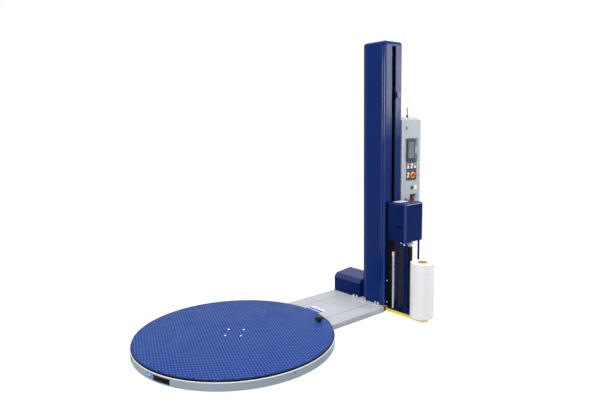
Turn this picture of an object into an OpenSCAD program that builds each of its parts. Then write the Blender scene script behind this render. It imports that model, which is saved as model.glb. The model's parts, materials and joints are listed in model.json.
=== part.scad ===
// Turntable pallet wrapper: a low turntable on a ring base, a mast at the end of the base,
// and a film carriage that climbs a slot in the mast's side.
// The origin is on the floor under the turntable's axis, with the mast towards +X.

/* [Turntable] */
// Diameter of the turntable plate
table_d = 1650; // [1400:10:1800]
// Height of the plate's top face above the floor
table_h = 81; // [78:1:95]
// Thickness of the plate
plate_t = 8; // [6:1:10]
// Diameter of the hub under the plate
hub_d = 236; // [220:1:250]
// Pitch circle of the four hub screws
hub_screw_pcd = 184; // [140:1:200]
// Thread diameter of the hub screws
hub_screw_d = 12; // [8:1:16]
// Diameter of the pivot post that the hub turns on
pivot_d = 70; // [50:1:90]
// Distance of the lock knob's axis from the plate's edge
knob_edge = 80; // [60:1:150]
// Bearing of the lock knob from the mast's direction, in degrees
knob_angle = -21.6; // [-60:0.1:60]
// Diameter over the knob's lobes
knob_d = 76; // [60:1:100]
// Height of the knob above the plate
knob_h = 44; // [30:1:60]
// Number of lobes on the knob
knob_lobes = 7; // [5:1:9]
// Diameter of the knob's stud
knob_stud_d = 12; // [8:1:16]

/* [Support wheels] */
// Diameter of a support wheel
wheel_d = 56; // [44:1:58]
// Width of a support wheel
wheel_w = 30; // [20:1:40]
// Distance of the wheels' track from the plate's edge
wheel_inset = 185; // [150:1:220]
// Diameter of a wheel's axle
axle_d = 16; // [10:1:20]
// Thickness of a wheel bracket
bracket_t = 4; // [3:1:6]
// Length of a wheel bracket along the track
bracket_l = 50; // [40:1:70]

/* [Base] */
// Thickness of the floor pan
pan_t = 4; // [3:1:6]
// Wall of the ring skirt
skirt_t = 5; // [3:1:8]
// Radial gap between the plate's edge and the skirt
skirt_gap = 1; // [1:0.5:4]
// Height of the gap between the skirt and the plate
skirt_drop = 7; // [4:1:10]
// Width of the base between the turntable and the mast
base_w = 722; // [660:2:820]
// Height of the base's top
base_h = 46; // [43:1:50]
// Sheet thickness of the base covers
sheet_t = 3; // [2:0.5:4]
// Width of the middle cover over the chain
cover_w = 394; // [360:2:420]
// Clear distance from the plate's edge to the mast
mast_gap = 641; // [500:1:800]
// Length of the pedestal in front of the mast
foot_l = 52; // [50:1:90]
// Length of the pedestal behind the mast
foot_back = 24; // [20:1:80]
// Wall of the pedestal
pedestal_t = 4; // [3:0.5:6]
// Thickness of the foot pad under the mast
pad_t = 6; // [4:1:10]
// Distance between the two fork pockets
fork_pitch = 526; // [510:2:540]
// Inside width of a fork pocket
fork_w = 158; // [130:1:165]
// Inside height of a fork pocket
fork_h = 44; // [36:1:48]
// Wall of a fork pocket
fork_wall = 4; // [3:0.5:5]
// Length of a fork pocket
fork_l = 1390; // [1000:10:1400]

/* [Table drive] */
// Pitch of the drive chain
chain_pitch = 15.875; // [12.7:0.001:15.875]
// Teeth on the turntable's sprocket
table_teeth = 57; // [51:1:59]
// Teeth on the motor's sprocket
drive_teeth = 15; // [13:1:19]
// Thickness of the sprockets
sprocket_t = 9; // [6:0.5:10]
// Height of the chain's middle plane above the floor
chain_z = 30; // [28:0.5:32]
// Thickness of a chain side plate
chain_plate_t = 2; // [1.5:0.1:2.5]
// Width of a chain side plate
chain_plate_w = 12; // [10:0.5:14]
// Distance of the motor's sprocket behind the mast's front
drive_setback = 136; // [110:1:150]
// Sideways place of the motor's sprocket
drive_y = 120; // [105:1:130]
// Diameter of the drive shaft
drive_shaft_d = 20; // [14:1:25]
// Height of the drive cover
hood_h = 204; // [195:1:240]
// Bevel along the drive cover's front top edge
hood_bevel = 40; // [20:1:60]
// Fall of the drive cover's top towards its front
hood_fall = 20; // [0:1:30]

/* [Mast] */
// Width of the mast
mast_w = 264; // [250:1:300]
// Depth of the mast
mast_d = 234; // [220:1:260]
// Height of the mast's top above the floor
mast_top = 2521; // [2500:1:3000]
// Wall of the mast
mast_wall = 4; // [3:0.5:6]
// Corner radius of the mast
mast_r = 8; // [6:1:14]
// Radius of the mast's front corner beside the slot
front_r = 20; // [8:1:24]
// Distance of the mast's side from the edge of the base
mast_inset = 21; // [10:1:40]
// Height of the top cap
cap_h = 40; // [30:1:60]
// Rounding of the top cap
cap_r = 30; // [10:1:34]
// Thickness of the front panel
panel_t = 2; // [1:0.5:4]
// Distance of the slot's middle behind the mast's front
slot_setback = 123; // [108:1:126]
// Width of the slot
slot_w = 54; // [48:1:70]
// Height of the slot's lower end above the mast's foot
slot_low = 20; // [10:1:40]
// Height of the limit switch on the mast's side
switch_z = 2044; // [1500:1:2300]

/* [Lift] */
// Working travel of the carriage
travel = 1700; // [1000:10:1700]
// Width of a guide rail
rail_w = 12; // [8:1:12]
// Depth of a guide rail
rail_d = 30; // [20:1:35]
// Distance between the guide rails
rail_span = 106; // [100:1:120]
// Height of the trolley between the rails
trolley_h = 540; // [400:1:600]
// Height of the trolley's lower end above the floor
trolley_z = 110; // [100:1:150]
// Diameter of the lift belt pulleys
pulley_d = 60; // [50:1:70]
// Width of the lift belt
belt_w = 22; // [16:1:26]
// Thickness of the lift belt
belt_t = 5; // [3:0.5:6]
// Height of the lower pulley above the floor
pulley_low = 130; // [125:1:150]
// Distance of the upper pulley below the mast's top
pulley_drop = 121; // [100:1:140]
// Diameter of the pulley shafts
pulley_shaft_d = 20; // [14:1:24]

/* [Carriage] */
// Gap between the mast and the carriage's back wall
carriage_gap = 22; // [20:1:30]
// Thickness of the carriage's back wall
back_t = 4; // [3:0.5:6]
// Distance of the carriage's front behind the mast's front
head_setback = 32; // [25:1:38]
// Length of the drive head
head_l = 259; // [255:1:262]
// Width of the drive head
head_w = 202; // [198:1:240]
// Height of the drive head
head_h = 355; // [330:1:400]
// Wall of the drive head
head_wall = 3; // [2:0.5:3]
// Rounding of the drive head's outer edges
head_r = 22; // [10:1:24]
// Thickness of the head's bottom plate
head_floor_t = 6; // [5:0.5:8]
// Height of the floor plate's underside above the ground
floor_z = 30; // [30:1:40]
// Thickness of the floor plate
floor_t = 6; // [5:0.5:8]
// Clear height between the floor plate and the drive head
film_space = 659; // [640:1:800]
// Size of the front post
front_post = 20; // [16:1:24]
// Diameter of the rear post
rear_post_d = 20; // [14:1:24]
// Width of the reel arm's round end
arm_d = 80; // [72:1:100]
// Distance of the reel's axis beyond the drive head
reel_reach = 174; // [160:1:200]
// Thickness of the bumper's rim
bumper_t = 12; // [8:1:14]
// Height of the bumper's rim
bumper_h = 23; // [18:1:24]
// Thickness of the bumper's tray
tray_t = 3; // [2:0.5:4]
// Upward travel of the bumper
bumper_travel = 6; // [3:0.5:6]

/* [Film path] */
// Diameter of the two stretch rollers
roller_d = 52; // [40:1:58]
// Length of the stretch rollers
roller_l = 586; // [500:1:600]
// Diameter of the stretch rollers' shafts
shaft_d = 20; // [18:1:22]
// Module of the stretch gears
gear_m = 2; // [1.9:0.01:2]
// Teeth on the gear of the fast roller
fast_teeth = 34; // [32:2:36]
// Teeth on the gear of the slow roller
slow_teeth = 69; // [65:2:69]
// Width of the stretch gears
gear_w = 12; // [8:1:14]
// Backlash of the stretch gears
gear_backlash = 0.4; // [0.3:0.05:0.6]
// Diameter of the idle roller
idle_d = 24; // [22:1:32]
// Length of the idle roller
idle_l = 544; // [480:1:560]
// Diameter of the idle roller's fixed shaft
idle_shaft_d = 12; // [8:1:14]
// Outside diameter of the film roll
film_d = 214; // [150:1:230]
// Height of the film roll
film_h = 505; // [450:1:510]
// Inside diameter of the film's cardboard core
core_d = 76; // [70:1:76]
// Wall of the cardboard core
core_t = 8; // [3:0.5:8]
// Diameter of the reel's turning disc
reel_disc_d = 120; // [100:1:124]
// Diameter of the reel's fixed pin
reel_pin_d = 20; // [14:1:24]

/* [Control cabinet] */
// Width of the cabinet
cab_w = 280; // [275:1:340]
// Depth of the cabinet's box
cab_d = 181; // [170:1:220]
// Height of the cabinet
cab_h = 864; // [820:1:1000]
// Height of the cabinet's lower end above the floor
cab_z = 970; // [850:1:1100]
// Sheet thickness of the cabinet
cab_wall = 2; // [1.5:0.5:3]
// Bevel along the top of the cabinet
cab_bevel = 24; // [10:1:30]
// Width of the fixed strip beside the door
strip_w = 44; // [36:1:48]
// Depth of the door
door_d = 18; // [16:1:24]
// Diameter of the hinge knuckles
knuckle_d = 10; // [8:1:11]
// Diameter of the hinge pins
hinge_pin_d = 5; // [3:0.5:6]
// Width of the display's frame
hmi_w = 150; // [140:1:170]
// Height of the display's frame
hmi_h = 219; // [200:1:240]
// Depth of the display's frame
hmi_d = 14; // [10:1:20]
// Width of the display's glass
screen_w = 96; // [80:1:120]
// Height of the display's glass
screen_h = 162; // [140:1:180]
// Height of the button plate
keypad_h = 185; // [180:1:200]
// Diameter of a button's cap
button_d = 22; // [16:1:24]
// Distance between two buttons
button_pitch = 51; // [46:1:52]
// Travel of a push button
button_travel = 4; // [2:0.5:4]
// Diameter of the emergency stop's head
estop_d = 40; // [30:1:44]
// Diameter of the emergency stop's collar
collar_d = 60; // [50:1:64]
// Travel of the emergency stop
estop_travel = 6; // [4:0.5:6]
// Size of the main switch's plate
switch_plate = 66; // [50:1:70]
// Length of the main switch's handle
handle_l = 52; // [40:1:60]
// Bore of the mains cable gland
gland_bore = 13; // [8:0.5:16]

/* [Hidden] */
$fn = 64;
hull_fn = 32;
// Smoothness of the turntable's large circles
large_fn = 720;
eps = 1;
// Radial clearance of a running fit
run_clear = 0.05;
// Clearance between parts that pass each other
gap = 0.3;
// Clearance of a screw in its hole
screw_clear = 0.3;

blue = "#14286b";
table_blue = "#31549f";
grey = "#c4c7cc";
skirt_grey = "#9faab2";
black = "#1a1a1c";
steel = "#a9adb2";
yellow = "#e6cf1e";
red = "#c22026";
white = "#e9eaea";

// Turntable levels
table_r = table_d / 2;
plate_z0 = table_h - plate_t;
skirt_in_r = table_r + skirt_gap;
skirt_r = skirt_in_r + skirt_t;
skirt_h = plate_z0 - skirt_drop;
hub_z0 = chain_z + sprocket_t / 2;
flange_margin = 8;
pivot_flange_d = hub_d - 2 * flange_margin;
pivot_flange_t = 8;
pivot_drop = 3;
head_ratio = 1.8;
screw_head_d = head_ratio * hub_screw_d;
screw_head_h = hub_screw_d / 2;
knob_r = table_r - knob_edge;
knob_stud_l = plate_t - 1;

// Support wheels
WHEEL_ANGLES = [45, 135, 225, 315];
track_r = table_r - wheel_inset;
axle_z = plate_z0 - gap - wheel_d / 2;
wheel_side = 1;
bracket_inner = wheel_w / 2 + wheel_side;
bracket_outer = bracket_inner + bracket_t;
bracket_over = 4;
bracket_top = axle_z + axle_d / 2 + bracket_over;

// Base
mast_x0 = table_r + mast_gap;
mast_x1 = mast_x0 + mast_d;
mast_y0 = mast_inset - base_w / 2;
mast_y1 = mast_y0 + mast_w;
foot_x0 = mast_x0 - foot_l;
foot_x1 = mast_x1 + foot_back;
foot_margin = 2;
foot_y0 = mast_y0 + foot_margin;
rail_end_gap = 18;
rail_end = mast_x0 - rail_end_gap;
channel_lap = 135;
channel_x0 = table_r - channel_lap;
fork_x1 = fork_l - table_r;
fork_top = pan_t + fork_h + 2 * fork_wall;
pad_front = 46;
pad_side = 130;
pad_x0 = mast_x0 - pad_front;
pad_y1 = mast_y1 + pad_side;
pad_top = base_h + pad_t;
bolt_d = 16;
bolt_head_d = 27;
bolt_head_h = 16;
bolt_front = 22;
bolt_x = mast_x0 - bolt_front;
bolt_l = 10;
stud_h = 14;
bolt_near = [51, 86];
bolt_far_in = 42;
bolt_far_out = [69, 112];
// Sideways places of the foot bolts, counted from the mast's two sides
BOLT_Y = [
    mast_y0 + bolt_near[0], mast_y0 + bolt_near[1], mast_y1 - bolt_far_in,
    mast_y1 + bolt_far_out[0], mast_y1 + bolt_far_out[1]
];
washer_d = 32;
washer_t = 3;

// Chain and sprockets
function pitch_r(teeth) = chain_pitch / (2 * sin(180 / teeth));
table_pitch_r = pitch_r(table_teeth);
drive_pitch_r = pitch_r(drive_teeth);
drive_x = mast_x0 + drive_setback;
drive_at = [drive_x, drive_y];
tooth_h = 4;
chain_side = 0.5;
chain_pin_d = 5;
pins_apart = 8;
chain_pin_step = pins_apart * chain_pitch;
chain_pin_margin = 70;

// Drive motor and its cover
hood_front = 16;
hood_side = 70;
hood_r = 12;
hood_margin = 2;
hood_x0 = mast_x0 + hood_front;
hood_x1 = foot_x1 - hood_margin;
hood_y0 = mast_y1 + hood_side;
hood_y1 = base_w / 2;
hood_t = 3;
hood_top = base_h + hood_h;
gearbox_l = 100;
gearbox_h = 130;
motor_d = 124;
motor_l = 150;
motor_rise = 8;
shaft_entry = 60;
shaft_short = 5;
shaft_hole = 6;

// Mast
column_top = mast_top - cap_h;
slot_x = mast_x0 + slot_setback;
slot_z0 = pad_top + slot_low;
slot_margin = 5;
slot_z1 = column_top - slot_margin;
panel_margin = 31;
corner_min = 1;
inner_y0 = mast_y0 + mast_wall;
inner_y1 = mast_y1 - mast_wall;
switch_w = 46;
switch_h = 58;
switch_clear = 4;
switch_t = carriage_gap - switch_clear;
switch_gap = 6;

// Lift
rail_lift = 8;
rail_z0 = pad_top + rail_lift;
rail_over = 111;
rail_z1 = trolley_z + trolley_h + travel + rail_over;
rail_in = rail_span / 2;
trolley_short = 4;
trolley_y1 = inner_y0 + rail_d - trolley_short;
shoe_clear = 0.5;
neck_side = 5;
neck_w = slot_w - 2 * neck_side;
neck_inset = 20;
belt_gap = 16;
belt_y0 = trolley_y1 + belt_gap;
belt_y1 = belt_y0 + belt_w;
belt_in_r = pulley_d / 2 + gap;
shaft_over = 2;
pulley_top_z = mast_top - pulley_drop;
lift_box_gap = 10;
lift_box_y0 = belt_y1 + lift_box_gap;
lift_box_l = 100;
lift_motor_d = 110;
lift_motor_l = 170;
lift_motor_shift = 8;
lift_mount_step = 10;
clamp_up = 230;
clamp_z = trolley_z + clamp_up;
clamp_h = 60;
jaw_t = 10;
strip_lift = 20;
strip_front = 2;
strip_back = 7;
strip_clear = 4;
strip_z = floor_z + strip_lift;

// Carriage
back_y1 = mast_y0 - carriage_gap;
back_y0 = back_y1 - back_t;
head_x0 = mast_x0 + head_setback;
head_x1 = head_x0 + head_l;
head_y1 = back_y0;
head_y0 = head_y1 - head_w;
floor_top = floor_z + floor_t;
head_z0 = floor_top + film_space;
head_shell_z = head_z0 + head_floor_t;
head_top = head_shell_z + head_h;
back_drop = 20;
floor_inset = 1;
floor_x0 = head_x0 + floor_inset;
floor_back = 14;
floor_x1 = head_x1 - floor_back;
reel_front = 27;
reel_at = [head_x0 + reel_front, head_y0 - reel_reach];
arm_x = floor_x0 + arm_d / 2;
post_inset = front_post / 2 + floor_inset;
front_post_at = [head_x0 + post_inset, head_y0 + post_inset];
rear_post_inset = [31, 27];
rear_post_at = [head_x1 - rear_post_inset[0], head_y0 + rear_post_inset[1]];
bumper_drop = 2;
bumper_top = floor_z - bumper_drop;
bumper_z0 = bumper_top - bumper_h;
bumper_gap = 1;
bumper_pin_d = 10;
bumper_pin_top = floor_z + bumper_travel + bumper_drop;
pin_back = [67, 34];
pin_front = [104, 22];
pin_arm = [20, 45];
// Places of the three guide pins under the drive head and the reel arm
BUMPER_PINS = [
    [head_x1 - pin_back[0], head_y1 - pin_back[1]],
    [head_x1 - pin_front[0], head_y0 + pin_front[1]],
    [arm_x + pin_arm[0], head_y0 - pin_arm[1]]
];

// Film path
fast_inset = [62, 100];
fast_at = [head_x0 + fast_inset[0], head_y1 - fast_inset[1]];
gear_cd = gear_m * (fast_teeth + slow_teeth) / 2;
gear_angle = -14;
slow_at = fast_at + gear_cd * [cos(gear_angle), sin(gear_angle)];
idle_inset = [9, 55];
idle_at = [head_x0 + idle_inset[0], head_y1 - idle_inset[1]];
bearing_wall = 12;
bearing_d = shaft_d + 2 * bearing_wall;
bearing_t = 7;
roller_end = 1;
roller_z0 = floor_top + bearing_t + roller_end;
shaft_passage = 2;
gear_lift = 11;
gear_z0 = head_shell_z + gear_lift;
hex_step = 2;
hex_d = shaft_d - hex_step;
hex_clear = 0.2;
tail_step = 5;
tail_d = shaft_d - tail_step;
slow_tail = 10;
motor_lift = 36;
fast_box_z = gear_z0 + gear_w + motor_lift;
fast_box_h = 90;
fast_box_half = 45;
leg_clear = 20;
fast_leg_y = gear_m * fast_teeth / 2 + leg_clear;
fast_motor_d = 86;
idle_lift = 10;
idle_z0 = floor_top + idle_lift;
idle_collar_wall = 4;
idle_collar_d = idle_shaft_d + 2 * idle_collar_wall;
reel_disc_t = 6;
reel_disc_z0 = floor_top + gap;
reel_disc_z1 = floor_top + reel_disc_t;
reel_hub_h = 198;
reel_pin_h = 150;
reel_pin_over = 5;
core_out_d = core_d + 2 * core_t;
core_over = 4;
film_clear = 0.2;

// Control cabinet
cab_gap = 12;
cab_x0 = mast_x1 + cab_gap;
cab_x1 = cab_x0 + cab_w;
cab_front = mast_y0;
door_gap = 1;
cab_y0 = cab_front + door_d + door_gap;
cab_y1 = cab_y0 + cab_d;
cab_top = cab_z + cab_h;
strip_gap = 2;
door_x0 = cab_x0 + strip_w + strip_gap;
door_x1 = cab_x1;
door_lift = 4;
door_z0 = cab_z + door_lift;
door_z1 = cab_top - cab_bevel;
knuckle_gap = 0.5;
hinge_at = [cab_x1 + knuckle_d / 2 + knuckle_gap, cab_y0 - door_gap / 2];
knuckle_h = 30;
leaf_t = 2;
leaf_margin = 2;
hinge_inset = 90;
HINGE_Z = [door_z0 + hinge_inset, door_z1 - hinge_inset];
panel_side = 99;
panel_x = door_x0 + panel_side;
hmi_drop = 174;
hmi_shift = 3;
hmi_x = panel_x - hmi_shift;
hmi_z1 = door_z1 - hmi_drop;
hmi_z0 = hmi_z1 - hmi_h;
keypad_w = hmi_w;
keypad_t = 3;
keypad_gap = 1;
keypad_z1 = hmi_z0 - keypad_gap;
keypad_y0 = cab_front - keypad_t;
screen_y1 = cab_front - keypad_t;
screen_shift = 8;
screen_x = hmi_x - screen_shift;
screen_t = 2;
button_drop = 32;
button_z = keypad_z1 - button_drop;
yellow_drop = 87;
yellow_z = button_z - yellow_drop;
estop_drop = 134;
estop_z = keypad_z1 - estop_drop;
estop_shift = 19;
estop_x = panel_x + estop_shift;
bezel_step = 7;
bezel_d = button_d + bezel_step;
bezel_t = 6;
button_out = 4;
stem_step = 8;
button_stem_d = button_d - stem_step;
stem_short = 6;
stem_end = cab_front + door_d - stem_short;
collar_t = 4;
estop_neck = 22;
estop_head_h = 24;
estop_stem_d = 18;
port_drop = 258;
port_shift = 14;
port_z = keypad_z1 - port_drop;
port_w = 34;
port_h = 29;
switch_shift = 19;
switch_x = panel_x + switch_shift;
main_switch_rise = 87;
main_switch_z = door_z0 + main_switch_rise;
plate_proud = 5;
handle_base_d = 40;
handle_base_h = 12;
handle_w = 14;
handle_h = 32;
lock_side = 24;
lock_x = door_x0 + lock_side;
lock_drop = 76;
lock_rise = 74;
LOCK_Z = [door_z1 - lock_drop, door_z0 + lock_rise];
lock_d = 18;
lock_ring_d = 28;
lock_ring_t = 4;
cam_l = 17;
cam_t = 3;
cam_w = 10;
cam_gap = 4;
lock_proud = 2;
antenna_inset = [139, 10];
antenna_at = [cab_x0 + antenna_inset[0], cab_y0 + cab_bevel + antenna_inset[1]];
gland_inset = [128, 90];
gland_at = [cab_x0 + gland_inset[0], cab_y0 + gland_inset[1]];
gland_wall = 7.5;
gland_d = gland_bore + 2 * gland_wall;
gland_passage = 4;
gland_l = 26;

// A box from one corner to the opposite one
module block(low, high) {
    translate(low) cube(high - low);
}

// A vertical round bar at a point in plan
module post(at, d, z0, z1) {
    translate([at[0], at[1], z0]) cylinder(d = d, h = z1 - z0);
}

// A vertical tube at a point in plan
module pipe(at, d, bore, z0, z1) {
    difference() {
        post(at, d, z0, z1);
        post(at, bore, z0 - eps, z1 + eps);
    }
}

// A round bar along Y
module bar_y(x, z, d, y0, y1) {
    translate([x, y0, z]) rotate([-90, 0, 0]) cylinder(d = d, h = y1 - y0);
}

// A rectangle with round corners
module rounded_rect(x0, y0, x1, y1, r) {
    translate([x0 + r, y0]) square([x1 - x0 - 2 * r, y1 - y0]);
    translate([x0, y0 + r]) square([x1 - x0, y1 - y0 - 2 * r]);
    for (x = [x0 + r, x1 - r], y = [y0 + r, y1 - r])
        translate([x, y]) circle(r);
}

// The area inside a belt that runs round two wheels
module belt_area(a, ra, b, rb) {
    span = norm(b - a);
    along = atan2(b[1] - a[1], b[0] - a[0]);
    lean = acos((ra - rb) / span);
    function rim(c, r, t) = c + r * [cos(t), sin(t)];
    translate(a) circle(ra);
    translate(b) circle(rb);
    polygon([
        rim(a, ra, along + lean), rim(a, ra, along - lean),
        rim(b, rb, along - lean), rim(b, rb, along + lean)
    ]);
}

// The outline of a chain sprocket
module sprocket_outline(teeth) {
    tip_r = pitch_r(teeth) + tooth_h;
    root_r = pitch_r(teeth) - tooth_h;
    step = 360 / teeth;
    root_half = 0.32;
    tip_half = 0.12;
    tooth = [[root_r, -root_half], [tip_r, -tip_half], [tip_r, tip_half], [root_r, root_half]];
    polygon([
        for (i = [0:teeth - 1], corner = tooth)
            corner[0] * [cos((i + corner[1]) * step), sin((i + corner[1]) * step)]
    ]);
}

// The outline of an involute gear, with one tooth on +X
module gear_outline(teeth) {
    pressure = 20;
    flank_steps = 4;
    rp = gear_m * teeth / 2;
    rb = rp * cos(pressure);
    addendum = 0.95;
    dedendum = 1.25;
    tip_r = rp + addendum * gear_m;
    root_r = rp - dedendum * gear_m;
    start_r = max(rb, root_r);
    half = 90 / teeth - gear_backlash / 4 / rp * 180 / PI;
    function involute(a) = tan(a) * 180 / PI - a;
    function half_at(r) = half + involute(pressure) - involute(acos(min(1, rb / r)));
    flank = [
        [root_r, half_at(start_r)],
        for (i = [0:flank_steps])
            let (r = start_r + (tip_r - start_r) * i / flank_steps) [r, half_at(r)]
    ];
    last = len(flank) - 1;
    tooth = concat(
        [for (p = flank) [p[0], -p[1]]],
        [for (i = [last:-1:0]) flank[i]]
    );
    polygon([
        for (i = [0:teeth - 1], p = tooth)
            p[0] * [cos(i * 360 / teeth + p[1]), sin(i * 360 / teeth + p[1])]
    ]);
}

// Places its child at each hub screw
module at_hub_screws() {
    for (a = [0:90:270])
        rotate(a) translate([hub_screw_pcd / 2, 0, 0]) children();
}

// Places its child at the lock knob
module at_knob() {
    rotate(knob_angle) translate([knob_r, 0, 0]) children();
}

// Places its child at a wheel, with X along the wheel's axle
module at_wheel(angle) {
    rotate(angle) translate([track_r, 0, axle_z]) children();
}

// The base in plan, drawn in by a wall where it is open towards the turntable
module base_outline(start, wall) {
    polygon([
        [start, wall - base_w / 2], [rail_end - wall, wall - base_w / 2],
        [rail_end - wall, foot_y0 + wall], [foot_x1 - wall, foot_y0 + wall],
        [foot_x1 - wall, base_w / 2 - wall], [start, base_w / 2 - wall]
    ]);
}

// The carriage's floor in plan, grown outwards
module floor_outline(grow) {
    translate([floor_x0 - grow, head_y0 - grow])
        square([floor_x1 - floor_x0 + 2 * grow, back_y1 - head_y0 + 2 * grow]);
    translate([floor_x0 - grow, reel_at[1]])
        square([arm_d + 2 * grow, head_y0 - reel_at[1]]);
    translate([arm_x, reel_at[1]]) circle(d = arm_d + 2 * grow);
}

module base_pan() {
    color(skirt_grey)
    linear_extrude(pan_t) {
        circle(skirt_in_r - gap, $fn = large_fn);
        base_outline(0, 0);
    }
}

module skirt_ring() {
    color(skirt_grey)
    difference() {
        pipe([0, 0], 2 * skirt_r, 2 * skirt_in_r, 0, skirt_h, $fn = large_fn);
        block([0, -base_w / 2 - gap, -eps], [2 * skirt_r, base_w / 2 + gap, skirt_h + eps]);
        for (y = [-fork_pitch / 2, fork_pitch / 2])
            block([-2 * skirt_r, y - fork_w / 2, pan_t + fork_wall],
                  [0, y + fork_w / 2, fork_top - fork_wall]);
    }
}

module fork_tubes() {
    color(skirt_grey)
    for (y = [-fork_pitch / 2, fork_pitch / 2])
        difference() {
            intersection() {
                block([-table_r, y - fork_w / 2 - fork_wall, pan_t],
                      [fork_x1, y + fork_w / 2 + fork_wall, fork_top]);
                post([0, 0], 2 * (skirt_in_r - gap), 0, fork_top + eps, $fn = large_fn);
            }
            block([-2 * table_r, y - fork_w / 2, pan_t + fork_wall],
                  [fork_x1 + eps, y + fork_w / 2, fork_top - fork_wall]);
        }
}

module base_channels() {
    channel_in = cover_w / 2 + gap;
    color(grey)
    for (side = [0, 1])
        mirror([0, side, 0])
            difference() {
                block([channel_x0, channel_in, pan_t], [foot_x0, base_w / 2, base_h]);
                block([channel_x0 - eps, channel_in + sheet_t, pan_t - eps],
                      [foot_x0 + eps, base_w / 2 - sheet_t, base_h - sheet_t]);
            }
}

module base_cover() {
    color(grey)
    difference() {
        block([channel_x0, -cover_w / 2, pan_t], [foot_x0, cover_w / 2, base_h]);
        block([channel_x0 - eps, sheet_t - cover_w / 2, pan_t - eps],
              [foot_x0 + eps, cover_w / 2 - sheet_t, base_h - sheet_t]);
    }
}

module mast_pedestal() {
    color(grey)
    difference() {
        union() {
            translate([0, 0, pan_t]) linear_extrude(base_h - pan_t) base_outline(foot_x0, 0);
            block([pad_x0, foot_y0, base_h], [hood_x0 - hood_margin, pad_y1, pad_top]);
            block([pad_x0, foot_y0, base_h], [foot_x1, hood_y0 - hood_margin, pad_top]);
        }
        translate([0, 0, pan_t - eps])
            linear_extrude(base_h - pan_t - pedestal_t + eps) base_outline(foot_x0 - eps, pedestal_t);
        post(drive_at, drive_shaft_d + shaft_hole, 0, pad_top);
        for (y = BOLT_Y)
            post([bolt_x, y], bolt_d + 2 * screw_clear, 0, pad_top + eps);
    }
}

module mast_bolts() {
    color(steel)
    for (y = BOLT_Y) {
        at = [bolt_x, y];
        nut_top = pad_top + washer_t + bolt_head_h;
        post(at, bolt_d, base_h - pedestal_t - bolt_l, pad_top + eps);
        post(at, washer_d, pad_top, pad_top + washer_t);
        translate([bolt_x, y, pad_top + washer_t])
            cylinder(d = bolt_head_d, h = bolt_head_h, $fn = 6);
        post(at, bolt_d, nut_top - eps, nut_top + stud_h);
    }
}

module table_supports() {
    color(steel) {
        post([0, 0], pivot_flange_d, pan_t, pan_t + pivot_flange_t);
        post([0, 0], pivot_d, pan_t, plate_z0 - pivot_drop);
    }
    for (a = WHEEL_ANGLES)
        at_wheel(a) {
            wheel_bracket();
            wheel_axle();
        }
}

module wheel_bracket() {
    foot = pan_t - axle_z;
    color(skirt_grey)
    difference() {
        block([-bracket_outer, -bracket_l / 2, foot], [bracket_outer, bracket_l / 2, bracket_top - axle_z]);
        block([-bracket_inner, -bracket_l, foot + bracket_t], [bracket_inner, bracket_l, bracket_top]);
        rotate([0, 90, 0])
            cylinder(d = axle_d + 2 * screw_clear, h = 2 * bracket_outer + 2 * eps, center = true);
    }
}

module wheel_axle() {
    color(steel)
    rotate([0, 90, 0]) cylinder(d = axle_d, h = 2 * bracket_outer, center = true);
}

module support_wheel(index) {
    color(black)
    at_wheel(WHEEL_ANGLES[index - 1])
        rotate([0, 90, 0])
            difference() {
                cylinder(d = wheel_d, h = wheel_w, center = true);
                cylinder(d = axle_d + 2 * run_clear, h = wheel_w + 2 * eps, center = true);
            }
}

module chain_loop(z0) {
    translate([0, 0, z0])
        linear_extrude(chain_plate_t)
            difference() {
                belt_area([0, 0], table_pitch_r + chain_plate_w / 2,
                          drive_at, drive_pitch_r + chain_plate_w / 2);
                belt_area([0, 0], table_pitch_r - chain_plate_w / 2,
                          drive_at, drive_pitch_r - chain_plate_w / 2);
            }
}

module drive_chain() {
    low = chain_z - sprocket_t / 2 - chain_side - chain_plate_t;
    high = chain_z + sprocket_t / 2 + chain_side;
    span = norm(drive_at);
    run = sqrt(span * span - pow(table_pitch_r - drive_pitch_r, 2));
    along = atan2(drive_at[1], drive_at[0]);
    lean = acos((table_pitch_r - drive_pitch_r) / span);
    color(steel) {
        chain_loop(low);
        chain_loop(high);
        for (side = [-1, 1], s = [chain_pin_margin:chain_pin_step:run - chain_pin_margin]) {
            t = along + side * lean;
            at = table_pitch_r * [cos(t), sin(t)] + s * side * [sin(t), -cos(t)];
            post(at, chain_pin_d, low, high + chain_plate_t);
        }
    }
}

module gearmotors() {
    color(skirt_grey) {
        table_gearmotor();
        lift_gearmotor();
    }
}

module table_gearmotor() {
    motor_z = base_h + motor_d / 2 + motor_rise;
    difference() {
        union() {
            block([drive_x - gearbox_l / 2, drive_y - gearbox_l / 2, base_h],
                  [drive_x + gearbox_l / 2, drive_y + gearbox_l / 2, base_h + gearbox_h]);
            bar_y(drive_x, motor_z, motor_d, drive_y, drive_y + gearbox_l / 2 + motor_l);
        }
        post(drive_at, drive_shaft_d + 2 * run_clear, 0, base_h + shaft_entry);
    }
}

module lift_gearmotor() {
    box_y1 = lift_box_y0 + lift_box_l;
    half = lift_box_l / 2;
    difference() {
        union() {
            block([slot_x - half, lift_box_y0, pulley_low - half],
                  [slot_x + half, box_y1, pulley_low + half]);
            block([slot_x - half + lift_mount_step, box_y1, pulley_low - half + lift_mount_step],
                  [slot_x + half - lift_mount_step, inner_y1, pulley_low + half - lift_mount_step]);
            post([slot_x, lift_box_y0 + half + lift_motor_shift], lift_motor_d, pulley_low + half,
                 pulley_low + half + lift_motor_l);
        }
        bar_y(slot_x, pulley_low, pulley_shaft_d + 2 * run_clear, lift_box_y0 - eps, lift_box_y0 + half);
    }
}

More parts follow.
